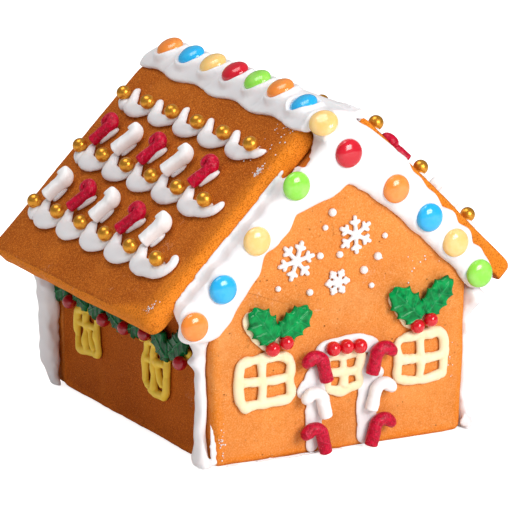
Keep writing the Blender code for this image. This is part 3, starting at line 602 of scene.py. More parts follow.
def even_outline(corners, radii, count=480):
    """A convex outline with round corners as evenly spaced points, and its outward directions."""
    corners = np.asarray(corners, float)
    middle = corners.mean(axis=0)
    steps = np.roll(corners, -1, axis=0) - corners
    normals = np.column_stack([steps[:, 1], -steps[:, 0]]) / np.linalg.norm(steps, axis=1)[:, None]
    normals *= np.sign(np.einsum("ij,ij->i", normals, corners - middle))[:, None]
    track = []
    for k, (corner, radius) in enumerate(zip(corners, radii)):
        before, after = normals[k - 1], normals[k]
        limits = np.array([before @ corner, after @ corner]) - radius
        centre = np.linalg.solve(np.array([before, after]), limits)
        turn = math.acos(np.clip(before @ after, -1, 1))
        t = np.linspace(0, 1, 14)[:, None]
        arc = (before * np.sin((1 - t) * turn) + after * np.sin(t * turn)) / math.sin(turn)
        track.append(centre + radius * arc)
    track = np.concatenate([*track, track[0][:1]])
    length = distance_along(track)
    at = np.linspace(0, length[-1], count, endpoint=False)
    outline = np.column_stack([np.interp(at, length, track[:, k]) for k in (0, 1)])
    along = np.roll(outline, -1, axis=0) - np.roll(outline, 1, axis=0)
    outward = np.column_stack([along[:, 1], -along[:, 0]]) / np.linalg.norm(along, axis=1)[:, None]
    if np.einsum("ij,ij->", outward, outline - middle) < 0:
        outward = -outward
    return outline, outward


RIM = 3.2                   # width and height of the round on the baked face
PALE_BAKE = 0.25            # how strongly a plate's underside is baked; its edge is 1


def plate_profile():
    """(share of the way out, inset, height) from the middle of the underside to that of the face."""
    rows = [(s, 1.0, 0.0) for s in np.linspace(0.03, 1.0, 10)]
    rows += [(1.0, 1.0 - math.sin(t), 1.0 - math.cos(t)) for t in np.linspace(0.3, math.pi / 2, 4)]
    rows += [(1.0, 0.0, h) for h in np.linspace(1.6, PLATE - RIM, 8)]
    rows += [(1.0, RIM * (1 - math.cos(t)), PLATE - RIM * (1 - math.sin(t)))
             for t in np.linspace(0.12, math.pi / 2, 12)]
    rows += [(s, RIM, PLATE) for s in np.linspace(0.985, 0.01, 74)]
    return np.array(rows)


def plate(name, place, corners, radii, finish, bake_width, swell=None, seed=0):
    """One baked plate; its own coordinates are (across, up, height over the underside less PLATE)."""
    outline, outward = even_outline(corners, radii)
    middle = outline.mean(axis=0)
    share, inset, height = (column[:, None] for column in plate_profile().T)
    edge = np.column_stack([outline, np.zeros(len(outline))])
    wander = 0.26 * (1 + noise(edge, 17.0, seed)) + 0.10 * (1 + noise(edge, 4.5, seed + 1))
    flat = outline - outward * (inset + wander)[:, :, None]
    flat = middle + (flat - middle) * share[:, :, None]
    spot = np.concatenate([flat, np.broadcast_to(height, flat.shape[:2])[:, :, None]], axis=2)
    sink = (0.16 * (1 + noise(spot, 24.0, seed + 2)) + 0.09 * (1 + noise(spot, 7.0, seed + 3))
            + 0.05 * (1 + noise(spot, 2.4, seed + 4)) + 0.035 * (1 + noise(spot, 1.2, seed + 5)))
    on_face = smoothstep((height - 2.0) / (PLATE - 4.0))
    h = height - PLATE - sink * on_face
    if swell is not None:
        h = h + swell(flat[..., 0], flat[..., 1]) * smoothstep((height - (PLATE - 1.0)) / 1.0)
    mesh = mesh_from(name, close_rings(place(flat[..., 0], flat[..., 1], h)))
    reach = np.linalg.norm(flat - middle, axis=2)
    rim_reach = np.linalg.norm(outline - middle, axis=1)
    depth = np.where(height < PLATE - 0.5, 0.0, rim_reach - reach)
    width = bake_width(flat[..., 0], flat[..., 1]) * (1 + 0.35 * noise(spot, 11.0, seed + 6))
    bake = smoothstep(1.25 - depth / width)
    bake = np.where(height < 0.5, PALE_BAKE, bake)
    vertex_values(mesh, "bake", np.concatenate([bake.ravel(), [PALE_BAKE, 0.0]]))
    return piece(name + "_crust", mesh, finish, nodes=[name])


def narrow(a, _):
    """Every edge of a wall baked in a band of the same width."""
    return np.full(a.shape, 4.5)


def roof_bake(a, b):
    """The roof's front edge baked in a broad band, its other edges in a thin one."""
    front = smoothstep((a - 120.0) / 34.0)
    low_corner = smoothstep((-b - 95.0) / 35.0)
    return 1.6 + (9.0 + 7.0 * low_corner) * front


half_width = WALL_WIDTH / 2
CORNER = 3.4                # round of a wall's corner
gable_corners = [(-half_width + 1.2, 0), (half_width - 1.2, 0), (half_width, 40),
                 (half_width, float(under_roof(half_width)) - 0.4), (0.1, float(under_roof(0.0)) - 0.5),
                 (-half_width, float(under_roof(-half_width)) - 0.4), (-half_width, 40)]
gable_radii = [4.0, 4.0, 60.0, CORNER, CORNER, CORNER, 60.0]
plate("front_wall", on_front, gable_corners, gable_radii, WALL_CRUST, narrow, seed=11)
plate("back_wall", through_back, gable_corners, gable_radii, WALL_CRUST, narrow, seed=23)
near, far = PLATE + 0.3, HOUSE_DEPTH - PLATE - 0.3      # a side wall stands between the gables
for side, word in SIDES.items():
    top = float(under_roof(side * half_width)) - 0.6
    plate(word + "_wall", on_side(side), [(near, 0), (far, 0), (far, top), (near, top)], [CORNER] * 4,
          SHADED_SIDE_CRUST, narrow, seed=31 + side)
    length, low, high = ROOF_BACK - ROOF_FRONT, -slope_length(side), -ROOF_START
    plate(word + "_roof", lambda a, b, h, side=side: roof_plane(side, a, -b, h),
          [(0, low), (length, low), (length, high), (0, high)], [7.0] * 4, SHADED_ROOF_CRUST, roof_bake,
          swell=lambda a, b, side=side: roof_swell(side, a, -b), seed=47 + side)
print("plates:", made)

# %% [markdown]
# ## Piping
# A piping bag leaves a rope that is flat where it touches and round above. Its path is a smooth
# curve through a few points (Catmull-Rom), and its cross-section is most of an ellipse. The
# width swells and thins along the way, as the hand slows down and speeds up, and both ends are
# round.

# %% Ropes of icing
def curve(points, count):
    """Catmull-Rom curve through rows of points, sampled at `count` even parameters."""
    points = np.asarray(points, float)
    padded = np.concatenate([2 * points[:1] - points[1:2], points, 2 * points[-1:] - points[-2:-1]])
    u = np.linspace(0, len(points) - 1, count)
    k = np.minimum(u.astype(int), len(points) - 2)
    t = (u - k).reshape(-1, *[1] * (points.ndim - 1))
    a, b, c, d = (padded[k + j] for j in range(4))
    return 0.5 * (2 * b + (c - a) * t + (2 * a - 5 * b + 4 * c - d) * t ** 2
                  + (3 * b - a - 3 * c + d) * t ** 3)


def side_ways(path):
    """Unit normals of a flat path."""
    ahead = np.gradient(path, axis=0)
    ahead /= np.linalg.norm(ahead, axis=1)[:, None] + 1e-9
    return np.column_stack([-ahead[:, 1], ahead[:, 0]])


def quarter_round(t, least=0.0):
    """The square root of 1 - (1 - t)²: a quarter circle that rises from 0 and is level from t = 1 on."""
    return np.sqrt(1 - (1 - np.clip(t, least, 1)) ** 2)


def rope(place, points, width, height, seed=0, wobble=0.10, count=90, around=22, closed=False):
    """A piped rope through flat points; width and height are numbers, or values spread along it."""
    path = curve(points, count)
    at = np.linspace(0, 1, count)
    wide, tall = (np.interp(at, np.linspace(0, 1, np.size(values)), np.ravel(values))
                  for values in (width, height))
    half = wide / 2
    length = distance_along(path)
    spot = np.column_stack([path, np.full(count, 7.3 * seed)])
    swell = 1 + wobble * noise(spot, 5.0, seed) + 0.5 * wobble * noise(spot, 1.9, seed + 1)
    if not closed:
        to_end = np.minimum(length, length[-1] - length) / half.mean()
        swell = swell * quarter_round(to_end, 0.02)
    angle = np.linspace(0, 2 * math.pi, around, endpoint=False)
    across = np.cos(angle)
    rise = np.where(np.sin(angle) > 0, np.sin(angle), 0.42 * np.sin(angle))     # flatter below
    flat = path[:, None, :] + side_ways(path)[:, None, :] * (half * swell)[:, None, None] * across[:, None]
    h = (tall * swell)[:, None] * (0.30 + 0.70 * rise) - 0.15
    return close_rings(place(flat[..., 0], flat[..., 1], h))


def ball(place, centre, radius):
    """A round sweet: circles of latitude, its poles away from and towards the plate."""
    t = np.linspace(-math.pi / 2, math.pi / 2, 22)[1:-1, None]
    angle = np.linspace(0, 2 * math.pi, 28, endpoint=False)
    a = centre[0] + radius * np.cos(t) * np.cos(angle)
    b = centre[1] + radius * np.cos(t) * np.sin(angle)
    return close_rings(place(a, b, centre[2] + radius * np.sin(t) + 0 * angle))


# %% [markdown]
# ## Icing that joins the house
# One mass of icing bridges the gap at the ridge, runs down both slopes of the front gable and on
# down the corners. It is built as separate shells first: an arch carried from front to back, a
# broad ribbon bent over the gable, a rough column at each corner, and a few thin strokes where
# icing was squeezed out or dragged along. Then they are melted together.

# %% The arch along the ridge
FRONT_SHARE = 0.50          # what is left of the arch where it meets the front gable


ARCH_HALF_WIDTH, ARCH_FOOT, ARCH_RISE = 19.0, 147.0, 11.3


def crown_height(x, share=1.0):
    """Top of the ridge icing: an arch that leans down to the right, sunk to the plates by `share`."""
    top_face = RIDGE_HEIGHT - np.abs(x) * np.tan(np.where(x < 0, PITCH[LEFT], PITCH[RIGHT]))
    base = np.minimum(151.2, top_face + 1.5)
    arch = np.minimum(ARCH_FOOT + ARCH_RISE * (1 - np.abs(x / ARCH_HALF_WIDTH) ** 3.2), 157.1 - 0.41 * x)
    return base + share * np.maximum(arch - base, 0.4)


def ridge_edge(side, y):
    """Slope distance where the ridge icing ends, in slow waves; at the front right it thins out."""
    wave = 1.1 * math.sin(2 * math.pi * y / 37.0 + side)
    thin = 10.0 * (1 - float(smoothstep((y - 10.0) / 40.0))) if side == RIGHT else 0.0
    return ROOF_START + 5.0 + wave - 1.5 * (y / HOUSE_DEPTH) - thin


def ridge_ring(y, share, full, count=84):
    """Outline at depth y: a steep lip on each plate, the arch between, and the plates' ends below."""
    lips = {}
    for side in (LEFT, RIGHT):
        edge = ridge_edge(side, y) - 2.5 * (1 - full)
        low = full * (0.45 if edge < ROOF_START - 1.0 else 1.0)
        lips[side] = [over_plate(side, edge + out, h * low if h > 0 else h)
                      for out, h in ((-1.6, -1.1), (0.0, -0.6), (0.5, 0.6), (-0.1, 1.9))]
    x = np.linspace(lips[LEFT][-1][0] + 2.6, lips[RIGHT][-1][0] - 2.6, 9)
    arch = list(np.column_stack([x, crown_height(x, share)]))
    below = [over_plate(RIGHT, ROOF_START - 0.3, -2.2), (0.0, float(under_roof(0.0)) + 0.6),
             over_plate(LEFT, ROOF_START - 0.5, -0.5)]
    ring = curve(np.array(lips[LEFT] + arch + lips[RIGHT][::-1] + below + lips[LEFT][:1]), count + 1)[:-1]
    return np.column_stack([ring[:, 0], np.full(count, y), ring[:, 1]])


def ridge_shell():
    """Rings from front to back; slanting creases show where one stroke of the bag lies on the next."""
    first, last = ROOF_FRONT - 1.6, ROOF_BACK - 1.0
    rings = []
    for y in np.linspace(first, last, 240):
        front = FRONT_SHARE + (1 - FRONT_SHARE) * float(smoothstep((y - ROOF_FRONT) / 30.0))
        back = float(quarter_round((last - y) / 11.0))
        rings.append(ridge_ring(y, front * (0.1 + 0.9 * back), 0.3 + 0.7 * back))
    rings = np.array(rings)
    x, y, z = rings[..., 0], rings[..., 1], rings[..., 2]
    lumps = 0.7 * noise(rings, 19.0, 61) + 0.2 * noise(rings, 7.0, 62)
    aslant = y + 0.9 * x
    for start in (8.0, 37.0, 82.0, 121.0):
        lumps -= 1.0 * np.exp(-((aslant - start) / 2.0) ** 2) * smoothstep((-x - 6.0) / 8.0)
        lumps += 0.5 * np.exp(-((aslant - start - 7.0) / 5.0) ** 2) * smoothstep((-x - 6.0) / 8.0)
    rings[..., 2] += lumps * smoothstep((z - 145.5) / 6.0)
    rings[..., 0] -= 0.6 * lumps * smoothstep((-x - 12.0) / 5.0) * (z > 146.5)
    return close_rings(world(rings[..., 0], rings[..., 1], rings[..., 2]))


# %% The ribbon over a gable
GABLE_APEX = (0.1, float(under_roof(0.0)))
LEG_END = {LEFT: 121.0, RIGHT: 112.5}   # how far down the slope the icing runs
FOOT = 12.0                 # length of the round foot in which it ends
ICING = 4.6                 # thickness on the gables
LEG_ROWS = {    # distance down the slope: reach inwards, reach outwards
    LEFT: [(22, 22.0, -1.0), (29, 19.5, 1.4), (40, 13.6, 2.8), (46, 11.0, 3.4), (53, 13.3, 3.2),
           (62, 13.0, 3.2), (68, 10.6, 3.0), (76, 15.4, 3.0), (90, 17.0, 3.2), (100, 19.5, 3.2),
           (108, 19.8, 3.6), (121, 14.0, 1.0)],
    RIGHT: [(22, 20.0, 5.8), (32, 17.0, 6.8), (41, 16.0, 6.0), (50, 14.8, 5.4), (58, 14.6, 4.6),
            (66, 14.0, 3.3), (74, 14.1, 5.3), (79, 14.0, 3.3), (86, 13.4, 3.8), (91, 13.4, 1.2),
            (96, 13.6, 2.0), (104, 15.0, 0.8), (113, 12.0, -3.0)]}


def gable_point(side, down, inward):
    """(across, up) at a distance down the gable's sloping edge, and inwards square to it."""
    pitch = PITCH[side]
    return np.array([GABLE_APEX[0] + side * (down * math.cos(pitch) - inward * math.sin(pitch)),
                     GABLE_APEX[1] - down * math.sin(pitch) - inward * math.cos(pitch)])


def leg_limits(side, down, is_back):
    """How far the ribbon reaches inwards and outwards, and how full it is near its round foot."""
    if is_back:
        spread = float(smoothstep((down - 30.0) / 66.0))
        wave = 0.9 * math.sin(down / 5.3 + side) + 0.35 * math.sin(down / 2.1 + 2 * side)
        centre, lower, upper = 8.0, 16.0 + 3.0 * spread + wave, -0.8
    else:
        rows = np.array(LEG_ROWS[side])
        ragged = 0.45 * math.sin(down / 1.9 + side) + 0.35 * math.sin(down / 4.3)
        centre = 6.0
        lower = float(np.interp(down, rows[:, 0], rows[:, 1])) + 0.4 * ragged
        upper = float(np.interp(down, rows[:, 0], rows[:, 2])) + ragged
    taper = max(float(quarter_round((LEG_END[side] - down) / FOOT)), 0.05)
    return centre + (lower - centre) * taper, centre - (centre + upper) * taper, taper


def ribbon_ring(lower, upper, edge, depth, height, count=30):
    """Cross-section: a cushion over the gable, and behind it a step back to the roof plate."""
    lower, upper = np.asarray(lower), np.asarray(upper)
    t = np.linspace(0, 1, count)
    rise = np.minimum(quarter_round(t / 0.34), 0.25 + 0.75 * quarter_round((1 - t) / 0.30))
    front = np.column_stack([lower + (upper - lower) * t[:, None], height * rise - 0.1])
    line = lower + (upper - lower) * edge
    corners = np.array([(*upper, -depth - 0.1), (*line, -depth - 0.1), (*line, -0.1), (*lower, -0.1)])
    back = np.concatenate([corners[k] + (corners[k + 1] - corners[k]) * np.linspace(0, 1, 6)[:-1, None]
                           for k in range(3)])
    return np.concatenate([front, back])


MIDDLE_ROWS = {     # is_back: the lowest and the highest point of the icing where both slopes meet
    False: [((-2.4, 118.6), (-12.6, 141.5)), ((-1.4, 119.3), (-13.0, 146.5)),
            ((-0.2, 120.2), (-10.0, 151.5)), ((0.8, 120.9), (-4.0, 155.4)), ((1.7, 121.3), (2.0, 154.2)),
            ((3.0, 121.0), (6.5, 149.6)), ((5.2, 120.0), (12.5, 146.0))],
    True: [((-5.5, 120.6), (-11.0, 138.8)), ((0.5, 121.5), (0.0, 149.8)), ((4.0, 121.2), (11.0, 139.1))]}


def ribbon_shell(is_back):
    """Both legs of the ribbon and its broad middle, smoothed along the way by one curve."""
    legs = {}
    for side in (LEFT, RIGHT):
        rings = []
        ends = LEG_END[side] - np.array([0.0, 0.6, 1.8, 4.0, 8.0])
        for down in np.concatenate([ends, np.linspace(LEG_END[side] - FOOT, 27.0, 44)]):
            inward, outward, taper = leg_limits(side, float(down), is_back)
            over = -outward - 1.0
            depth = 0.0 if is_back else ROOF_FRONT * float(np.clip(over / 1.6, 0, 1))
            edge = 1.0 - max(over, 0.0) / (inward - outward)
            rings.append(ribbon_ring(gable_point(side, down, inward), gable_point(side, down, outward),
                                     edge, depth, ICING * taper ** 0.5))
        legs[side] = rings
    middle = []
    for (low_x, low), (x, top) in MIDDLE_ROWS[is_back]:
        above_low, above_top = low - float(under_roof(low_x)), top - float(under_roof(x))
        edge = min((1.6 - above_low) / (above_top - above_low), 1.0)
        middle.append(ribbon_ring((low_x, low), (x, top), edge, 0.0 if is_back else ROOF_FRONT, ICING))
    rings = curve(np.array(legs[LEFT] + middle + legs[RIGHT][::-1]), 460)
    rings[..., 2] += 0.45 * noise(rings * (1, 1, 0), 15.0, 71) * (rings[..., 2] > 1.0)
    place = on_back if is_back else on_front
    return close_rings(place(rings[..., 0], rings[..., 1], rings[..., 2]))


def plate_end(side):
    """On the end face of a roof plate: distance down the gable's edge, reach outwards, height."""
    return lambda a, b, h: on_front(*gable_point(side, a, -b), h - ROOF_FRONT - 0.3)


# A thin ragged line of icing that was squeezed out between the left plate and the gable.
squeezed = [rope(plate_end(LEFT), [(down, 4.0 + 0.3 * math.sin(down)) for down in range(first, last, 6)],
                 (2.4, 3.0, 2.6), (1.3, 1.7, 1.4), seed=75 + first, wobble=0.32, count=120)
            for first, last in ((34, 58), (50, 79), (72, 99), (93, 114))]

# %% Columns down the corners
# Levels of (height, half width, half depth).
FRONT_COLUMN = [(0.6, 5.8, 3.0), (3.5, 6.2, 3.6), (8.0, 4.8, 3.0), (14.0, 3.7, 2.6), (28.0, 3.4, 2.4),
                (38.0, 3.6, 2.5), (43.0, 3.3, 2.4), (47.0, 4.8, 3.8), (51.0, 3.4, 3.0), (56.0, 4.8, 4.2),
                (62.0, 7.0, 6.4), (66.5, 5.0, 4.4)]
BACK_COLUMN = [(0.6, 4.8, 1.8), (6.0, 5.8, 2.8), (14.0, 6.4, 3.8), (28.0, 6.4, 4.4), (42.0, 6.4, 5.0),
               (50.0, 6.8, 5.4), (56.0, 8.0, 5.8), (60.0, 9.4, 6.4), (66.5, 9.6, 6.4)]


def column_shell(side, is_back, seed):
    """A column carried up through its levels, rough from noise and shifted a little on the way."""
    levels = curve(BACK_COLUMN if is_back else FRONT_COLUMN, 120)
    angle = np.linspace(0, 2 * math.pi, 30, endpoint=False)
    z, half_width, half_depth = (levels[:, k, None] for k in range(3))
    if is_back:
        backward = 1.7 * smoothstep((z - 48.0) / 12.0) - 2.6 * smoothstep((16.0 - z) / 16.0)
        middle, lift = HOUSE_DEPTH - 3.8 + backward + 0.8 * np.sin(z / 4.0), -0.4
    else:
        forward = smoothstep((z - 44.0) / 20.0) * 1.6 + 3.0 * smoothstep((18.0 - z) / 14.0)
        middle, lift = PLATE - 1.6 - forward + 0.7 * np.sin(z / 6.0), -0.2
    spot = np.stack(np.broadcast_arrays(7 * np.cos(angle), z, 7 * np.sin(angle)), axis=-1)
    rough = 1 + (0.22 if is_back else 0.14) * noise(spot, 6.0, seed) + 0.12 * noise(spot, 2.6, seed + 1)
    y = middle + half_width * np.cos(angle) * rough
    out = lift + half_depth * (1 + np.sin(angle) * rough) * 0.93
    return close_rings(on_side(side)(y, z + 0 * angle, out))


# %% Where the lentils sit
def lentil_seat(node, axis):
    """Centre in house millimetres and unit axis of a lentil, from its node's box."""
    low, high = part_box(node)
    centre = (np.array(low) + np.array(high)) / 2 / MM
    return centre - (0, FRONT_Y / MM, 0), np.asarray(axis, float) / np.linalg.norm(axis)


RIDGE_COLOURS = ["orange", "blue", "yellow", "red", "green", "orange", "blue", "yellow"]
GABLE_COLOURS = {"left": ["green", "yellow", "blue", "orange"],
                 "right": ["orange", "blue", "yellow", "green"]}
seats = {}
for k, colour in enumerate(RIDGE_COLOURS):
    node = "lentil_ridge_%d" % (k + 1)
    seats[node] = (*lentil_seat(node, (-0.48, -0.45, 0.75) if k == 7 else (-0.48, 0.0, 0.88)), colour)
seats["lentil_gable_apex"] = (*lentil_seat("lentil_gable_apex", (0, -1, 0)), "red")
for word, colours in GABLE_COLOURS.items():
    for k, colour in enumerate(colours):
        node = "lentil_gable_%s_%d" % (word, k + 1)
        seats[node] = (*lentil_seat(node, (0, -1, 0)), colour)
print("seats:", len(seats))


# %% Melt the mass and press the lentils in
def collars(places):
    """Height of the icing pressed up round each lentil: a ring-shaped bell curve."""
    def lift(points):
        """Height at points in millimetres of the frame."""
        spot = points - (0, FRONT_Y / MM, 0)
        total = np.zeros(len(spot))
        for centre, axis, _ in places:
            away = spot - centre
            along = away @ axis
            out = np.linalg.norm(away - along[:, None] * axis, axis=1)
            height = 1.4 + 1.2 * np.clip(-away[:, 0] / 7.0, 0, 1) if abs(axis[1]) < 0.9 else 0.65
            total += height * np.exp(-((out - 7.0) / 1.6) ** 2) * (np.abs(along) < 5.0)
        return total
    return lift


# Icing dragged over the edges of the front wall when the columns were set.
smears = [rope(on_front, [(side * (half_width - 0.3 + drift * z + 0.5 * math.sin(1.7 * z)), z)
                          for z in range(2, last, 4)],
               (5.0, 4.4, 3.4, 2.8, 1.2), (1.8, 1.6, 1.3, 1.0, 0.7), seed=93, wobble=0.7, count=60)
          for side, last, drift in ((LEFT, 24, 0.07), (RIGHT, 14, 0.10))]
# Where the ridge icing thins out at the front right, a strand lies in the joint behind the plate.
smears.append(rope(lambda a, b, h: on_roof(RIGHT)(a, b, h - 4.0),
                   [(along, 0.4 - ROOF_START) for along in (1.5, 13.0, 26.0, 40.0)], 3.6, 3.6,
                   seed=97, wobble=0.15))
# A thin line of icing runs along the foot of the front wall.
smears.append(rope(on_front, [(x, 0.9 + 0.2 * math.sin(x)) for x in range(-60, 20, 8)], 1.6, 0.9,
                   seed=95, wobble=0.4, count=120))
joining = [ridge_shell(), ribbon_shell(False), *squeezed, *smears, column_shell(LEFT, False, 81),
           column_shell(RIGHT, False, 83)]
mass = push(melt("joining_icing", joining, voxel=0.63, passes=7), collars(seats.values()))
piece("joining_icing", mass, WHITE_ICING,
      nodes=["ridge_icing", "gable_icing_front", "corner_icing_front_left", "corner_icing_front_right"])
print("joining icing:", len(mass.vertices), "points")

# %% [markdown]
# ## Lentils
# A sugar-coated lentil is a flattened ball: R·cos t across and H·sin t through, with the cosine
# raised to a power below one so that the rim stays full. Each one sits in the bed that the packed
# model already gives it.

# %% Lentils
LENTIL_RADIUS, LENTIL_HALF_HEIGHT = 6.5, 3.5


def lentil(centre, axis):
    """A lentil in house millimetres: R · cos(t)^0.86 outwards and H · sin(t) along its axis."""
    axis = np.asarray(axis, float)
    first = np.cross(axis, (0.0, 0.0, 1.0) if abs(axis[2]) < 0.9 else (0.0, 1.0, 0.0))
    first /= np.linalg.norm(first)
    second = np.cross(axis, first)
    t = np.linspace(-math.pi / 2, math.pi / 2, 30)[1:-1, None, None]
    turn = np.linspace(0, 2 * math.pi, 44, endpoint=False)[None, :, None]
    spot = (centre + axis * LENTIL_HALF_HEIGHT * np.sin(t)
            + LENTIL_RADIUS * np.cos(t) ** 0.86 * (first * np.cos(turn) + second * np.sin(turn)))
    return close_rings(world(spot[..., 0], spot[..., 1], spot[..., 2]))


for node, (centre, axis, colour) in seats.items():
    piece(node + "_shell", [lentil(centre, axis)], SHELLS[colour], nodes=[node])
print("lentils:", len(seats))

# %% [markdown]
# ## Icing at the back
# The back of the house is closed with the same icing, and it carries the same nine lentils. They
# are shown here too, one piece for each colour.

# %% Back gable
def further_in(side, x, z):
    """A gable point given by (x, z), moved inwards to at least 8.4 mm from the sloping edge."""
    pitch = PITCH[side]
    ways = np.array([[side * math.cos(pitch), -side * math.sin(pitch)], [-math.sin(pitch), -math.cos(pitch)]])
    down, inward = np.linalg.solve(ways, np.array([x, z]) - GABLE_APEX)
    return gable_point(side, down, max(inward, 8.4))


behind = []
for node, (centre, _, colour) in seats.items():
    if node.startswith("lentil_gable"):
        x, z = centre[0], centre[2]
        if "apex" not in node:
            x, z = further_in(LEFT if "left" in node else RIGHT, x, z)
        behind.append((np.array([x, HOUSE_DEPTH + 0.3 + ICING + 0.4, z]), np.array([0.0, 1.0, 0.0]), colour))

joining = [ribbon_shell(True), column_shell(LEFT, True, 85), column_shell(RIGHT, True, 87)]
mass = push(melt("back_icing", joining, voxel=0.70, passes=7), collars(behind))
piece("back_icing", mass, WHITE_ICING,
      nodes=["gable_icing_back", "corner_icing_back_left", "corner_icing_back_right"])
for colour in SHELLS:
    shells = [lentil(centre, axis) for centre, axis, own in behind if own == colour]
    if shells:
        piece("lentils_behind_" + colour, shells, SHELLS[colour])
print("back icing:", len(mass.vertices), "points,", len(behind), "lentils")

# %% [markdown]
# ## Scalloped borders
# Every border is one stroke repeated: the bag starts with a short finger beside a pearl, swings
# down the slope, and comes up again under the next pearl. The hand is heavier at the bottom of
# the swing, so the stroke is widest there. The strokes melt into one another, and the last one
# curls up round its pearl.

# %% Scallops and pearls
ROW_SLOPE = {LEFT: {"upper": 40.3, "middle": 72.6, "lower": 106.2},
             RIGHT: {"upper": 35.0, "middle": 68.0, "lower": 103.5}}
PEARL_FIRST, PEARL_STEP, PEARL_COUNT, PEARL_RADIUS = 16.0, 24.4, 6, 3.5
FAT = {"upper": 0.92, "middle": 1.05, "lower": 1.16}       # how heavy the hand was in each row


def swag(place, start, slope, fat, finger, tail, seed):
    """One stroke from above a pearl down and up to the next; `finger` is how far it starts up the slope."""
    jitter = [0.7 * float(noise(np.array([start, k * 5.0, slope]), 2.1, seed)) for k in range(4)]
    path = [(1.7 + jitter[0], finger), (4.2, 1.3), (6.6, -2.4), (8.2, -4.9 - 0.4 * fat),
            (13.0 + jitter[1], -6.0 - 0.5 * fat), (18.5 + jitter[2], -5.4 - 0.4 * fat)]
    path += [(PEARL_STEP + a, b) for a, b in tail]
    width = [3.0, 4.4, 6.6, 8.2, 8.0, 7.6] + ([7.0, 6.4] if len(tail) == 2 else [6.4, 5.2, 4.6, 3.4])
    height = [2.6, 3.0, 3.2, 3.7, 3.8, 3.5] + ([3.0, 2.6] if len(tail) == 2 else [3.2, 2.9, 2.7, 2.4])
    flat = np.array(path) + (start, -slope)
    return rope(place, flat, np.array(width) * fat, np.array(height), seed=seed, wobble=0.08, count=90)


# How the last stroke of a row ends, from its last pearl on.
TAILS = {"upper": [(0.0, -3.8), (3.6, -3.2), (6.0, -1.2), (6.6, 0.6)],
         "middle": [(1.0, -5.0), (5.6, -3.2), (7.6, 0.0), (6.6, 3.0)],
         "lower": [(2.0, -5.4), (6.6, -2.4), (7.2, 1.8), (3.6, 4.8)]}


def border(side, row):
    """Five strokes, a blob before the first pearl, a cup under each pearl, and the pearls on top."""
    place, slope = on_roof(side), ROW_SLOPE[side][row]
    strokes, pearls = [], []
    for k in range(PEARL_COUNT):
        start = PEARL_FIRST + PEARL_STEP * k
        pearls.append(ball(place, (start, -slope - 1.2, 4.4), PEARL_RADIUS))
        cup = [(start - 2.6, -slope - 3.0), (start, -slope - 2.4), (start + 3.0, -slope - 1.6)]
        strokes.append(rope(place, cup, 4.6, 2.6, seed=k, count=30))
        if k < PEARL_COUNT - 1:
            tail = TAILS[row] if k == PEARL_COUNT - 2 else [(-0.6, -3.4), (1.8, -2.6)]
            finger = (4.6 if row == "upper" else 3.2) + 1.0 * math.sin(2.3 * k + slope)
            strokes.append(swag(place, start, slope, FAT[row], finger, tail, seed=int(slope) + 7 * k))
    start = PEARL_FIRST
    blob = [(start - 2.4, -slope + 0.4), (start - 1.4, -slope - 3.6), (start + 5.5, -slope - 6.2)]
    strokes.append(rope(place, blob, np.array([4.4, 6.6, 7.2]) * FAT[row], (2.4, 3.4, 3.7), seed=5, count=50))
    name = SIDES[side] + "_" + row
    piece("border_" + name, melt("border_" + name, strokes, voxel=0.42, passes=5), WHITE_ICING,
          nodes=["scallops_" + name])
    piece("pearls_" + name, pearls, GOLD)


for side in SIDES:
    for row in ROW_SLOPE[side]:
        border(side, row)
print("borders:", made)

# %% [markdown]
# ## Candy canes
# The canes are pressed sugar, a little thinner than a pencil. The centre line is a straight stem
# and an arc, and a closed section is carried along it. The red ones are round; the white ones on
# the roof are squarer, like a folded slab, so their section is a superellipse. The fine pale
# lines climb round the stem: their value is the sine of the angle plus the distance travelled.

# %% Canes
def cane_line(foot, lean, stem, hook, curl, turn, curl_in=0.0, count=70):
    """Centre line: `stem` mm straight, then an arc of radius `hook` over `curl` degrees; it may tighten."""
    arc = math.radians(curl)
    s = np.linspace(0, stem + hook * arc * 0.94, count)
    t = np.clip((s - stem) / hook, 0, None)
    heading = t * (1 + curl_in * t)
    step = np.gradient(s)
    x = np.cumsum(turn * np.sin(heading) * step)
    y = np.cumsum(np.cos(heading) * step)
    tilt = math.radians(lean)
    spin = np.array([[math.cos(tilt), -math.sin(tilt)], [math.sin(tilt), math.cos(tilt)]])
    return np.asarray(foot) + (np.column_stack([x - x[0], y - y[0]]) @ spin)


def squared(wave, power):
    """A sine or cosine raised to a power with its sign kept; below 1 it makes a circle squarer."""
    return np.sign(wave) * np.abs(wave) ** power


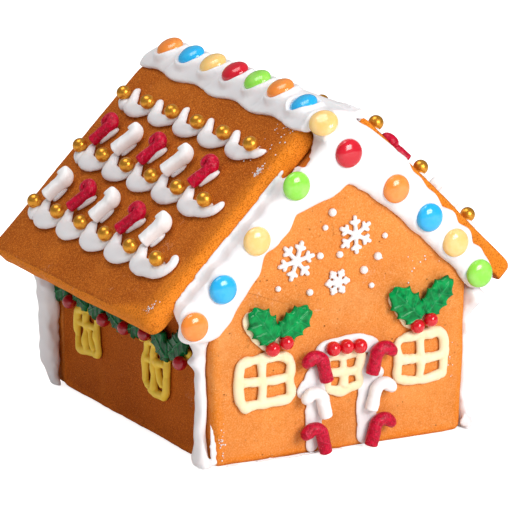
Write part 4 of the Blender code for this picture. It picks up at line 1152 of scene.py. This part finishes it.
def cane(name, place, line, radius, lift, material, node, square=1.0, seed=0,
         raised=0.0, shoulder=0.0, stem=0.0):
    """A tube round the line; its section is |cos|^square across and |sin|^square high.

    The hook rises by `raised` towards its tip, and the bend at `stem` swells by a share `shoulder`.
    """
    around = np.linspace(0, 2 * math.pi, 36, endpoint=False)
    length = distance_along(line)
    to_foot, to_tip = length / radius, (length[-1] - length) / radius
    end = (1 - (1 - np.clip(to_foot / 0.45 + 0.5, 0, 1)) ** 2.4) * quarter_round(to_tip / 0.9, 0.06)
    spot = np.column_stack([line, np.full(len(line), 3.0 * seed)])
    bend = np.exp(-((length - stem - 1.0) / 2.6) ** 2)
    size = radius * end * (1 + 0.07 * noise(spot, 3.5, seed) + shoulder * bend)
    across, rise = squared(np.cos(around), square), squared(np.sin(around), square)
    twist = np.sin(2 * around + 2.6 * length[:, None] / radius)
    ridge = 1 + 0.035 * np.maximum(twist, 0) ** 3
    flat = line[:, None, :] + side_ways(line)[:, None, :] * (size[:, None] * across * ridge)[..., None]
    climb = raised * smoothstep((length - stem) / 5.0)[:, None]
    h = lift + radius + climb + size[:, None] * rise * ridge
    mesh = mesh_from(name, close_rings(place(flat[..., 0], flat[..., 1], h)))
    vertex_values(mesh, "twist", np.concatenate([twist.ravel(), [0.0, 0.0]]))
    return piece(name, mesh, material, nodes=[node] if node else ())


ROOF_STEM = 11.4            # straight part of a roof cane


def roof_cane(side, row, k, is_red):
    """Lean one cane on its border, and return the dab of icing that it is stuck on with."""
    border_below = {"upper": "middle", "lower": "lower"}[row]
    place = on_roof(side)
    foot = np.array([PEARL_FIRST + PEARL_STEP * k + 5.6, -ROW_SLOPE[side][border_below] + 3.0])
    name = "%s_%s_%d" % (SIDES[side], row, k + 1)
    node = "cane_" + name if side == LEFT or (row, k) == ("upper", 0) else None
    lean = 24 + 4.0 * math.sin(2.9 * k + len(row))
    out = np.array([math.sin(math.radians(lean)), math.cos(math.radians(lean))])
    across = np.array([out[1], -out[0]])
    if is_red:
        line = cane_line(foot, lean + 3, ROOF_STEM, 3.1, 205, -1, curl_in=0.16)
        cane("red_cane_" + name, place, line, 2.7, 1.0, RED_SUGAR, node, seed=k,
             raised=1.0, shoulder=0.10, stem=ROOF_STEM)
        steps = ((2.0, 0.6), (6.0, 1.2), (10.0, 1.9), (13.6, 1.7))
        width, height, seed, wobble, count = (2.6, 4.2, 5.0, 4.4), (2.4, 3.2, 3.6, 2.8), k + 3, 0.14, 40
    else:
        line = cane_line(foot, lean, ROOF_STEM, 2.9, 112, -1)
        cane("white_cane_" + name, place, line, 2.95, 1.2, WHITE_SUGAR, node, square=0.60,
             seed=k, raised=1.8, shoulder=0.16, stem=ROOF_STEM)
        steps = ((1.0, 0.6), (5.0, 0.9), (10.0, 0.6))
        width, height, seed, wobble, count = (5.2, 6.0, 4.8), (2.2, 2.8, 2.4), k + 9, 0.18, 30
    under = [foot + out * up + across * aside for up, aside in steps]
    return rope(place, under, width, height, seed=seed, wobble=wobble, count=count)


for side, word in SIDES.items():
    dabs = [roof_cane(side, row, k, (k % 2 == 0) == first_is_red)
            for row, first_is_red in (("upper", True), ("lower", False)) for k in range(5)]
    name = "cane_dabs_" + word
    piece(name, melt(name, dabs, voxel=0.42, passes=4), WHITE_ICING)
print("canes:", made)

# %% [markdown]
# ## Windows
# A window is three strokes of icing: a loop with soft corners and two bars that cross it. The
# loop is a superellipse, |x/w|^n + |y/h|^n = 1, pulled about a little by noise. Where strokes
# cross, the icing flows together and the corners of the openings become round.

# %% Windows
def window_strokes(place, centre, width, height, bar=4.7, tall=2.8, seed=0, cross=(0.0, 0.0), wobble=1.0):
    """Three ropes: a superellipse loop, an upright and a crossbar."""
    turn = np.linspace(0, 2 * math.pi, 29)
    half = np.array([width, height]) / 2 - bar / 2
    power = 2 / 6.0
    loop = np.column_stack([squared(np.cos(turn), power), squared(np.sin(turn), power)]) * half
    spot = np.column_stack([loop + centre, np.zeros(29)])
    loop = loop + wobble * np.column_stack([noise(spot, 4.5, seed), noise(spot, 4.5, seed + 1)]) + centre
    x, z = centre[0] + cross[0], centre[1] + cross[1]
    upright = [(x - 0.5, centre[1] - half[1]), (x + 0.4, z - 4), (x, z + 4), (x - 0.4, centre[1] + half[1])]
    rail = [(centre[0] - half[0], z + 0.4), (x - 5, z), (x + 5, z - 0.5), (centre[0] + half[0], z + 0.2)]
    return [rope(place, loop, bar, tall, seed=seed, wobble=0.26, count=150, closed=True),
            rope(place, upright, bar * 0.95, tall * 1.05, seed=seed + 2, wobble=0.26, count=50),
            rope(place, rail, bar * 0.90, tall * 1.05, seed=seed + 4, wobble=0.24, count=60)]


# %% [markdown]
# ## Holly
# A moulded sugar leaf is thick and squat. Seen flat, its edge is a row of hollows between
# spikes: the half width is an oval that is widened by 1 - |sin|, which comes to a point at every
# spike. In section it is a cushion with round edges, and the midrib and side veins stand up a
# little. The same veins are handed to the finish as a value per vertex, which paints them paler:
# partly the veins' own colour, partly a painted highlight where the raised lines catch the light.

# %% Leaves and berries
SPIKES = np.array([0.16, 0.44, 0.72])      # where a leaf's spikes stand, as shares of its length
BERRY = 3.3                 # radius of a berry


def leaf(place, base, angle, length, width, lift=1.3, thick=2.6, seed=0):
    """A leaf from `base` at `angle` degrees, and its vein values."""
    rows = np.linspace(0, 1, 96)[:, None]
    top = np.linspace(-1, 1, 41)
    u = np.concatenate([top, np.linspace(1, -1, 12)[1:-1]])[None, :]
    is_top = (np.arange(u.shape[1]) < len(top))[None, :]
    oval = np.clip(1 - (np.abs(rows - 0.45) / 0.565) ** 2.4, 0, 1) ** 0.5
    cusp = 1 - np.abs(np.sin(math.pi * (rows - SPIKES[0]) / (SPIKES[1] - SPIKES[0]))) ** 0.75
    half = width / 2 * np.maximum(oval * (0.78 + 0.26 * cusp), 0.02)
    x = rows * length + 0.9 * np.abs(u) ** 2 * cusp
    y = u * half
    rib = np.exp(-(y / 0.42) ** 2) * smoothstep((1 - rows) / 0.15)
    side = np.zeros_like(x)
    for spike in SPIKES:
        side += np.exp(-((rows - (spike - 0.13 + 0.15 * np.abs(u))) * length / 0.42) ** 2)
    veins = np.clip(rib + 0.85 * side * (1 - smoothstep((np.abs(u) - 0.72) / 0.2)), 0, 1) * is_top
    inside = np.minimum(half * (1 - np.abs(u)) / 1.5, np.minimum(rows, 1 - rows) * length / 1.3)
    cushion = quarter_round(inside)
    lumps = 0.32 * noise(np.stack(np.broadcast_arrays(x, y, 9.0 * seed + 0 * x), -1), 3.0, seed)
    bend = 0.5 * np.cos(math.pi * (rows - 0.5)) - 0.35 * np.abs(u) ** 2
    relief = 0.5 * thick + 0.5 * thick * cushion + 0.50 * veins + lumps + bend * 0.6
    h = lift + np.where(is_top, relief, 0.2)
    spin = math.radians(angle)
    a = base[0] + x * math.cos(spin) - y * math.sin(spin)
    b = base[1] + x * math.sin(spin) + y * math.cos(spin)
    return close_rings(place(a, b, h)), np.concatenate([veins.ravel(), [0.0, 0.0]])


def leaves_piece(name, leaves, finish=LEAF_GREEN):
    """Several leaves as one piece that carries their vein values."""
    mesh = mesh_from(name, join_shells([shell for shell, _ in leaves]))
    vertex_values(mesh, "vein", np.concatenate([veins for _, veins in leaves]))
    return piece(name, mesh, finish)


# %% Front windows with their sprigs
FRONT_WINDOWS = {           # middle, width, height, where the bars cross
    "left": ((-39.4, 37.2), 30.4, 25.4, (-1.6, 0.6)),
    "right": ((40.8, 38.4), 29.0, 25.6, (-0.6, -0.4))}
SPRIGS = {                  # middle, then each leaf's offset, angle, length and width
    "left": ((-34.0, 58.0), (-1.8, -2.0, 128, 18.0, 15.0), (1.0, -0.6, 37, 17.8, 14.5)),
    "right": ((40.0, 59.3), (-1.0, -2.4, 136, 20.0, 15.5), (1.2, -0.2, 49, 19.0, 14.0))}
front_leaves = []
for k, (word, (centre, width, height, cross)) in enumerate(FRONT_WINDOWS.items()):
    (x, z), *sprig = SPRIGS[word]
    dabs = [rope(on_front, [(x - 14.6, z + 11.4), (x - 10.6, z + 4.6), (x - 5.6, z - 2.6),
                            (x - 1.5, z - 5.5)],
                 (8.5, 9.0, 8.5, 7.0), 1.9, seed=131 + k, wobble=0.18, count=60),
            rope(on_front, [(x + 9.0, z + 8.0), (x + 4.0, z + 2.0), (x, z - 4.0)],
                 (5.0, 6.5, 7.0), 1.9, seed=141 + k, count=50)]
    strokes = window_strokes(on_front, centre, width, height, seed=101 + 10 * k, cross=cross)
    front_leaves += [leaf(on_front, (x + across, z + up), *form, lift=1.4 + 0.3 * j, seed=3 * k + j)
                     for j, (across, up, *form) in enumerate(sprig)]
    name = "window_front_" + word
    piece(name + "_icing", melt(name, strokes + dabs, voxel=0.38, passes=5), CREAM_ICING, nodes=[name])
    piece("berries_" + word, [ball(on_front, (x - 3.3, z - 5.6, 3.9), BERRY),
                              ball(on_front, (x + 3.6, z - 3.4, 3.9), BERRY)], BERRY_RED)
leaves_piece("holly_front", front_leaves)
print("front windows:", made)

# %% [markdown]
# ## Side walls
# Each side wall has two windows of the mustard copy of the cream icing, darker as painted shade,
# and under the eave a garland: holly leaves darkened as painted shade, tilted one way and the other,
# with berries darkened the same way between them. The right-hand wall repeats the left.

# %% Garland
GARLAND_LEAVES = [          # middle, tilt, length and width of each leaf
    (27.6, 49.6, -38, 19.0, 14.0), (43.4, 48.2, 34, 19.0, 14.0), (67.0, 49.4, -22, 16.5, 11.0),
    (87.4, 48.6, 20, 16.5, 11.0), (106.0, 48.8, -24, 16.5, 11.0), (123.0, 50.0, 22, 16.0, 11.0),
    (143.0, 48.6, -20, 16.0, 11.0)]
GARLAND_BERRIES = [(22.8, 43.6), (56.4, 48.8), (76.4, 46.6), (97.4, 45.4), (132.0, 45.8), (151.5, 46.4)]


def unit(angle):
    """The direction at an angle, as (cos, sin)."""
    return np.array([math.cos(angle), math.sin(angle)])


def garland(side):
    """Leaves and berries along the eave, on dabs of icing."""
    place, name = on_side(side), "garland_" + SIDES[side]
    leaves, dabs = [], []
    for k, (y, z, tilt, length, width) in enumerate(GARLAND_LEAVES):
        base = (y, z) - length / 2 * unit(math.radians(tilt))
        leaves.append(leaf(place, base, tilt, length, width, lift=1.5, seed=20 + k))
        dabs.append(rope(place, [(y - 8.5, z - 1.0), (y - 1.0, z - 3.4), (y + 8.0, z - 0.6)],
                         (3.6, 6.4, 4.0), 2.2, seed=151 + k, wobble=0.25, count=36))
    berries = [ball(place, (y, z, 4.2), BERRY) for y, z in GARLAND_BERRIES]
    piece(name + "_dabs", melt(name, dabs, voxel=0.42, passes=4), SHADED_CREAM_ICING,
          nodes=[name] if side == LEFT else ())
    leaves_piece(name + "_leaves", leaves, SHADED_LEAF)
    piece(name + "_berries", berries, SHADED_BERRY)


# %% Side windows
SIDE_WINDOWS = (("near", (51.4, 33.8), 24.0, 26.5), ("rear", (119.0, 34.4), 24.0, 25.0))
for side, word in SIDES.items():
    for k, (where, (y, z), width, height) in enumerate(SIDE_WINDOWS):
        strokes = window_strokes(on_side(side), (y, z), width, height, bar=4.1, tall=3.0,
                                 seed=171 + 10 * k, cross=(1.5, 3.0), wobble=1.6)
        slipped = [(y - 1.0, z + 3.0), (y - 4.0, z - 4.0), (y - 7.0, z - 8.0)]
        strokes.append(rope(on_side(side), slipped, (2.4, 3.4, 2.6), 2.8, seed=177 + k, wobble=0.3, count=30))
        name = "window_%s_%s" % (word, where)
        piece(name + "_icing", melt(name, strokes, voxel=0.42, passes=4), SHADED_CREAM_ICING,
              nodes=[name] if side == LEFT else ())
    garland(side)
print("side walls:", made)

# %% [markdown]
# ## The doorway
# Broad strokes of white icing stand as posts, and a flat-topped arch joins them over a small
# cream pane. The pane is nearly closed: its strokes are so fat that only four small openings are
# left. The canes are set on the posts while the icing is still wet.

# %% Doorway
DOOR_STROKES = [            # points, widths, height, wobble, samples
    ([(-15.6, 1.2), (-14.6, 8.0), (-14.2, 17.0), (-12.4, 24.0), (-14.2, 33.0), (-11.8, 41.0)],
     (7.4, 7.2, 8.4, 12.6, 11.6, 9.4), 2.0, 0.18, 110),
    ([(-21.6, 27.0), (-18.6, 31.5), (-13.0, 35.0)], (5.6, 7.0, 6.4), 1.8, 0.10, 40),
    ([(12.6, 1.2), (13.0, 9.0), (12.8, 18.0), (13.2, 27.0), (13.4, 36.0), (14.0, 43.0)],
     (10.4, 10.0, 10.6, 10.8, 10.4, 8.0), 2.0, 0.10, 110),
    ([(13.0, 33.0), (18.0, 34.5), (21.0, 31.5)], (6.0, 5.6, 4.0), 1.8, 0.10, 40),
    ([(-12.6, 43.5), (-9.0, 47.5), (0.0, 48.9), (8.0, 49.2), (15.0, 46.6), (16.0, 42.5)],
     (6.6, 8.4, 8.2, 8.6, 8.6, 7.0), 2.3, 0.09, 110)]
posts = [rope(on_front, points, widths, height, seed=201 + 2 * k, wobble=wobble, count=count)
         for k, (points, widths, height, wobble, count) in enumerate(DOOR_STROKES)]
piece("door_posts", melt("door_posts", posts, voxel=0.40, passes=5), WHITE_ICING, nodes=["doorway"])
pane = window_strokes(on_front, (0.8, 36.4), 20.6, 20.0, bar=4.5, tall=2.2, seed=221,
                      cross=(-0.4, 0.4), wobble=1.4)
pane += [rope(on_front, [(-7.4, 29.6), (-2.0, 27.6), (3.4, 28.4), (8.0, 29.6)], (5.0, 4.6, 5.0, 4.4), 2.1,
              seed=231, wobble=0.2, count=60)]
piece("door_pane", melt("door_pane", pane, voxel=0.38, passes=4), CREAM_ICING)
berries = [ball(on_front, (x, z, 4.2), 3.4) for x, z in ((-6.7, 48.8), (0.0, 49.0), (6.8, 48.4))]
piece("door_berries", berries, BERRY_RED)

# %% Door canes
for side, x in ((LEFT, -10.2), (RIGHT, 12.8)):
    for k, z in enumerate((1.6, 18.0, 34.6)):
        line = cane_line((x, z), side * 14, 9.0, 4.5, 168, side, curl_in=0.04)
        name = "cane_door_%s_%d" % (SIDES[side], k + 1)
        if k == 1:
            cane("white_" + name, on_front, line, 2.9, 1.8, WHITE_SUGAR, name, seed=k)
        else:
            cane("red_" + name, on_front, line, 3.05, 1.9, RED_SUGAR, name, seed=k)
print("doorway:", made)

# %% [markdown]
# ## Snow on the gable
# The upper part of the front wall carries thin white piping. Here it is plain winter ornament:
# two six-armed stars, a smaller one, and dots of falling snow between them. Each arm is a thin
# rope with a pair of short branches.

# %% Piped snow
def star(place, centre, radius, turn, seed):
    """Six arms of `radius`, each with two short branches at 60 degrees to it."""
    strokes = []
    for k in range(6):
        angle = math.radians(turn + 60 * k)
        out = unit(angle)
        strokes.append(rope(place, [np.zeros(2) + centre, 0.5 * radius * out + centre, radius * out + centre],
                            (2.3, 2.0, 2.2), (2.1, 1.7, 1.9), seed=seed + k, count=40, around=14))
        for way in (-60, 60):
            tip = 0.56 * radius * out + 0.34 * radius * unit(angle + math.radians(way))
            strokes.append(rope(place, [0.54 * radius * out + centre, tip + centre], (1.8, 1.9), (1.5, 1.7),
                                seed=seed + 9 + k, count=18, around=12))
    return strokes


snow = (star(on_front, (-24.0, 90.0), 9.5, 12, 301) + star(on_front, (6.0, 98.5), 9.0, 34, 321)
        + star(on_front, (-3.0, 78.0), 6.4, 3, 341))
for k, (x, z) in enumerate(((-9.5, 103.5), (-12.0, 91.0), (17.5, 87.5), (-33.0, 78.5), (-17.0, 75.0),
                            (10.5, 82.0), (21.0, 96.5), (-2.0, 90.5), (-6.0, 110.0), (14.5, 74.5))):
    snow.append(ball(on_front, (x, z, 0.5), 1.35 + 0.25 * (k % 3)))
piece("piped_snow", melt("piped_snow", snow, voxel=0.30, passes=3), WHITE_ICING)
print("snow:", made)

# %% [markdown]
# ## Crumbs of sugar
# Dried icing leaves fine white crumbs where a hand has brushed the crust. Each crumb is a tiny
# lens of a few faces. They lie in small clouds: thick in the middle, thinner further out.

# %% Crumbs of sugar
def crumb(place, a, b, size):
    """A lens of three rings: size · cos(t) across, 0.5 · size · sin(t) high."""
    rise = np.radians([[-20.0], [15.0], [55.0]])
    turn = np.linspace(0, 2 * math.pi, 7, endpoint=False)
    return close_rings(place(a + size * np.cos(rise) * np.cos(turn), b + size * np.cos(rise) * np.sin(turn),
                             0.5 * size * np.sin(rise) + 0 * turn))


CRUMB_CLOUDS = [            # place, middle, spread, number
    (on_roof(LEFT), (150.5, -50.0), (0.8, 1.5), 60), (on_roof(LEFT), (147.0, -27.5), (4.5, 2.0), 14),
    (on_roof(LEFT), (152.0, -127.0), (1.4, 2.4), 22), (on_roof(LEFT), (142.0, -40.0), (5.0, 7.0), 16),
    (on_front, (-60.0, 11.0), (0.8, 5.0), 22), (on_front, (56.5, 36.0), (1.6, 5.0), 10),
    (on_front, (30.0, 82.0), (8.0, 4.0), 10)]
chance = np.random.default_rng(23)
crumbs = []
for place, middle, spread, number in CRUMB_CLOUDS:
    spots_in_cloud = chance.normal(middle, spread, (number, 2))
    sizes = chance.uniform(0.16, 0.46, number)
    crumbs += [crumb(place, a, b, size) for (a, b), size in zip(spots_in_cloud, sizes)]
piece("sugar_crumbs", crumbs, WHITE_ICING)
print("crumbs:", len(crumbs))

# %% [markdown]
# ## The back wall
# Behind, the wall carries two windows of its own, so the house can be turned round.

# %% Back windows
for word, x in (("left", -34.0), ("right", 34.0)):
    strokes = window_strokes(through_back, (x, 40.0), 29.0, 25.0, seed=401 + int(x))
    name = "window_back_" + word
    piece(name, melt(name, strokes, voxel=0.42, passes=4), CREAM_ICING)
print("back windows:", made)

# %% [markdown]
# ## Camera, light and floor
# The house stands on a white sweep under soft light. The main light comes from the front right,
# so the front wall is bright and the left wall lies in shade. The camera is far away with a long
# lens, which keeps the upright lines nearly parallel.

# %% Camera, light and floor
def aim_camera(azimuth, elevation, roll, distance, target, lens):
    """A camera on a sphere round a target, turned about its own axis by a small roll."""
    a, e, r = (math.radians(v) for v in (azimuth, elevation, roll))
    back = Vector((math.sin(a) * math.cos(e), -math.cos(a) * math.cos(e), math.sin(e)))
    right = Vector((math.cos(a), math.sin(a), 0.0))
    up = back.cross(right)
    level, upright = right * math.cos(r) + up * math.sin(r), up * math.cos(r) - right * math.sin(r)
    data = bpy.data.cameras.new("camera")
    data.lens, data.sensor_width = lens, 36.0
    data.dof.use_dof = False
    data.clip_start, data.clip_end = 0.05, 20.0
    camera = bpy.data.objects.new("camera", data)
    turn = Matrix((level, upright, back)).transposed().to_4x4()
    camera.matrix_world = Matrix.Translation(target + back * distance) @ turn
    bpy.context.scene.collection.objects.link(camera)
    bpy.context.scene.camera = camera


def soft_light(name, size, power, place, aim, colour=(1.0, 1.0, 1.0)):
    """A square area light at `place` that looks at `aim`."""
    data = bpy.data.lights.new(name, 'AREA')
    data.size, data.energy, data.color = size, power, colour
    lamp = bpy.data.objects.new(name, data)
    lamp.location = place
    lamp.rotation_euler = (Vector(aim) - Vector(place)).to_track_quat('-Z', 'Y').to_euler()
    bpy.context.scene.collection.objects.link(lamp)


aim_camera(azimuth=-29.12, elevation=14.25, roll=0.49, distance=1.7416,
           target=Vector((-0.04398, FRONT_Y, 0.09452)), lens=281.25)
HOUSE_MIDDLE = (0.0, 0.0, 0.07)
soft_light("key", 0.80, 21.0, (0.30, -1.48, 0.78), HOUSE_MIDDLE, (1.0, 0.99, 0.97))
soft_light("top", 0.80, 8.0, (-0.35, 0.15, 1.45), HOUSE_MIDDLE, (1.0, 0.99, 0.98))
print("lights:", len(bpy.data.lights))


# %% Background and floor
def by_ray(owner, camera, glossy, other):
    """A strength that differs for what the camera sees, what shines back from pieces, and the rest."""
    rays = add(owner, "LightPath")
    indirect = add(owner, "MapRange", To_Min=other, To_Max=glossy)
    wire(owner, rays.outputs["Is Glossy Ray"], indirect.inputs["Value"])
    choice = add(owner, "Mix")
    for socket, value in zip((0, 2, 3), (rays.outputs["Is Camera Ray"], indirect.outputs["Result"], camera)):
        wire(owner, value, choice.inputs[socket])
    return choice.outputs[0]


studio = bpy.data.worlds.new("studio")
studio.use_nodes = True
background = studio.node_tree.nodes["Background"]
wire(studio, (1.0, 1.0, 1.0), background.inputs["Color"])
wire(studio, by_ray(studio, 1.0, 0.22, 0.40), background.inputs["Strength"])
bpy.context.scene.world = studio
bpy.context.scene.view_settings.view_transform = 'Standard'

floor_mesh = bpy.data.meshes.new("floor")
floor_mesh.from_pydata([(-3, -3, 0), (3, -3, 0), (3, 3, 0), (-3, 3, 0)], [], [(0, 1, 2, 3)])
FLOOR_WHITE, floor_shader = new_finish("floor_white", roughness=0.9, Specular_IOR_Level=0.1)
wire(FLOOR_WHITE, (0.90, 0.90, 0.90), floor_shader.inputs["Base Color"])
wire(FLOOR_WHITE, (1.0, 1.0, 1.0), floor_shader.inputs["Emission Color"])
wire(FLOOR_WHITE, by_ray(FLOOR_WHITE, 0.85, 0.0, 0.0), floor_shader.inputs["Emission Strength"])
floor_mesh.materials.append(FLOOR_WHITE)
floor = bpy.data.objects.new("floor", floor_mesh)
bpy.context.scene.collection.objects.link(floor)
floor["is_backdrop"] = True

# %% Measure and finish
low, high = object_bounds()
print("made", made["pieces"], "pieces,", made["triangles"], "triangles")
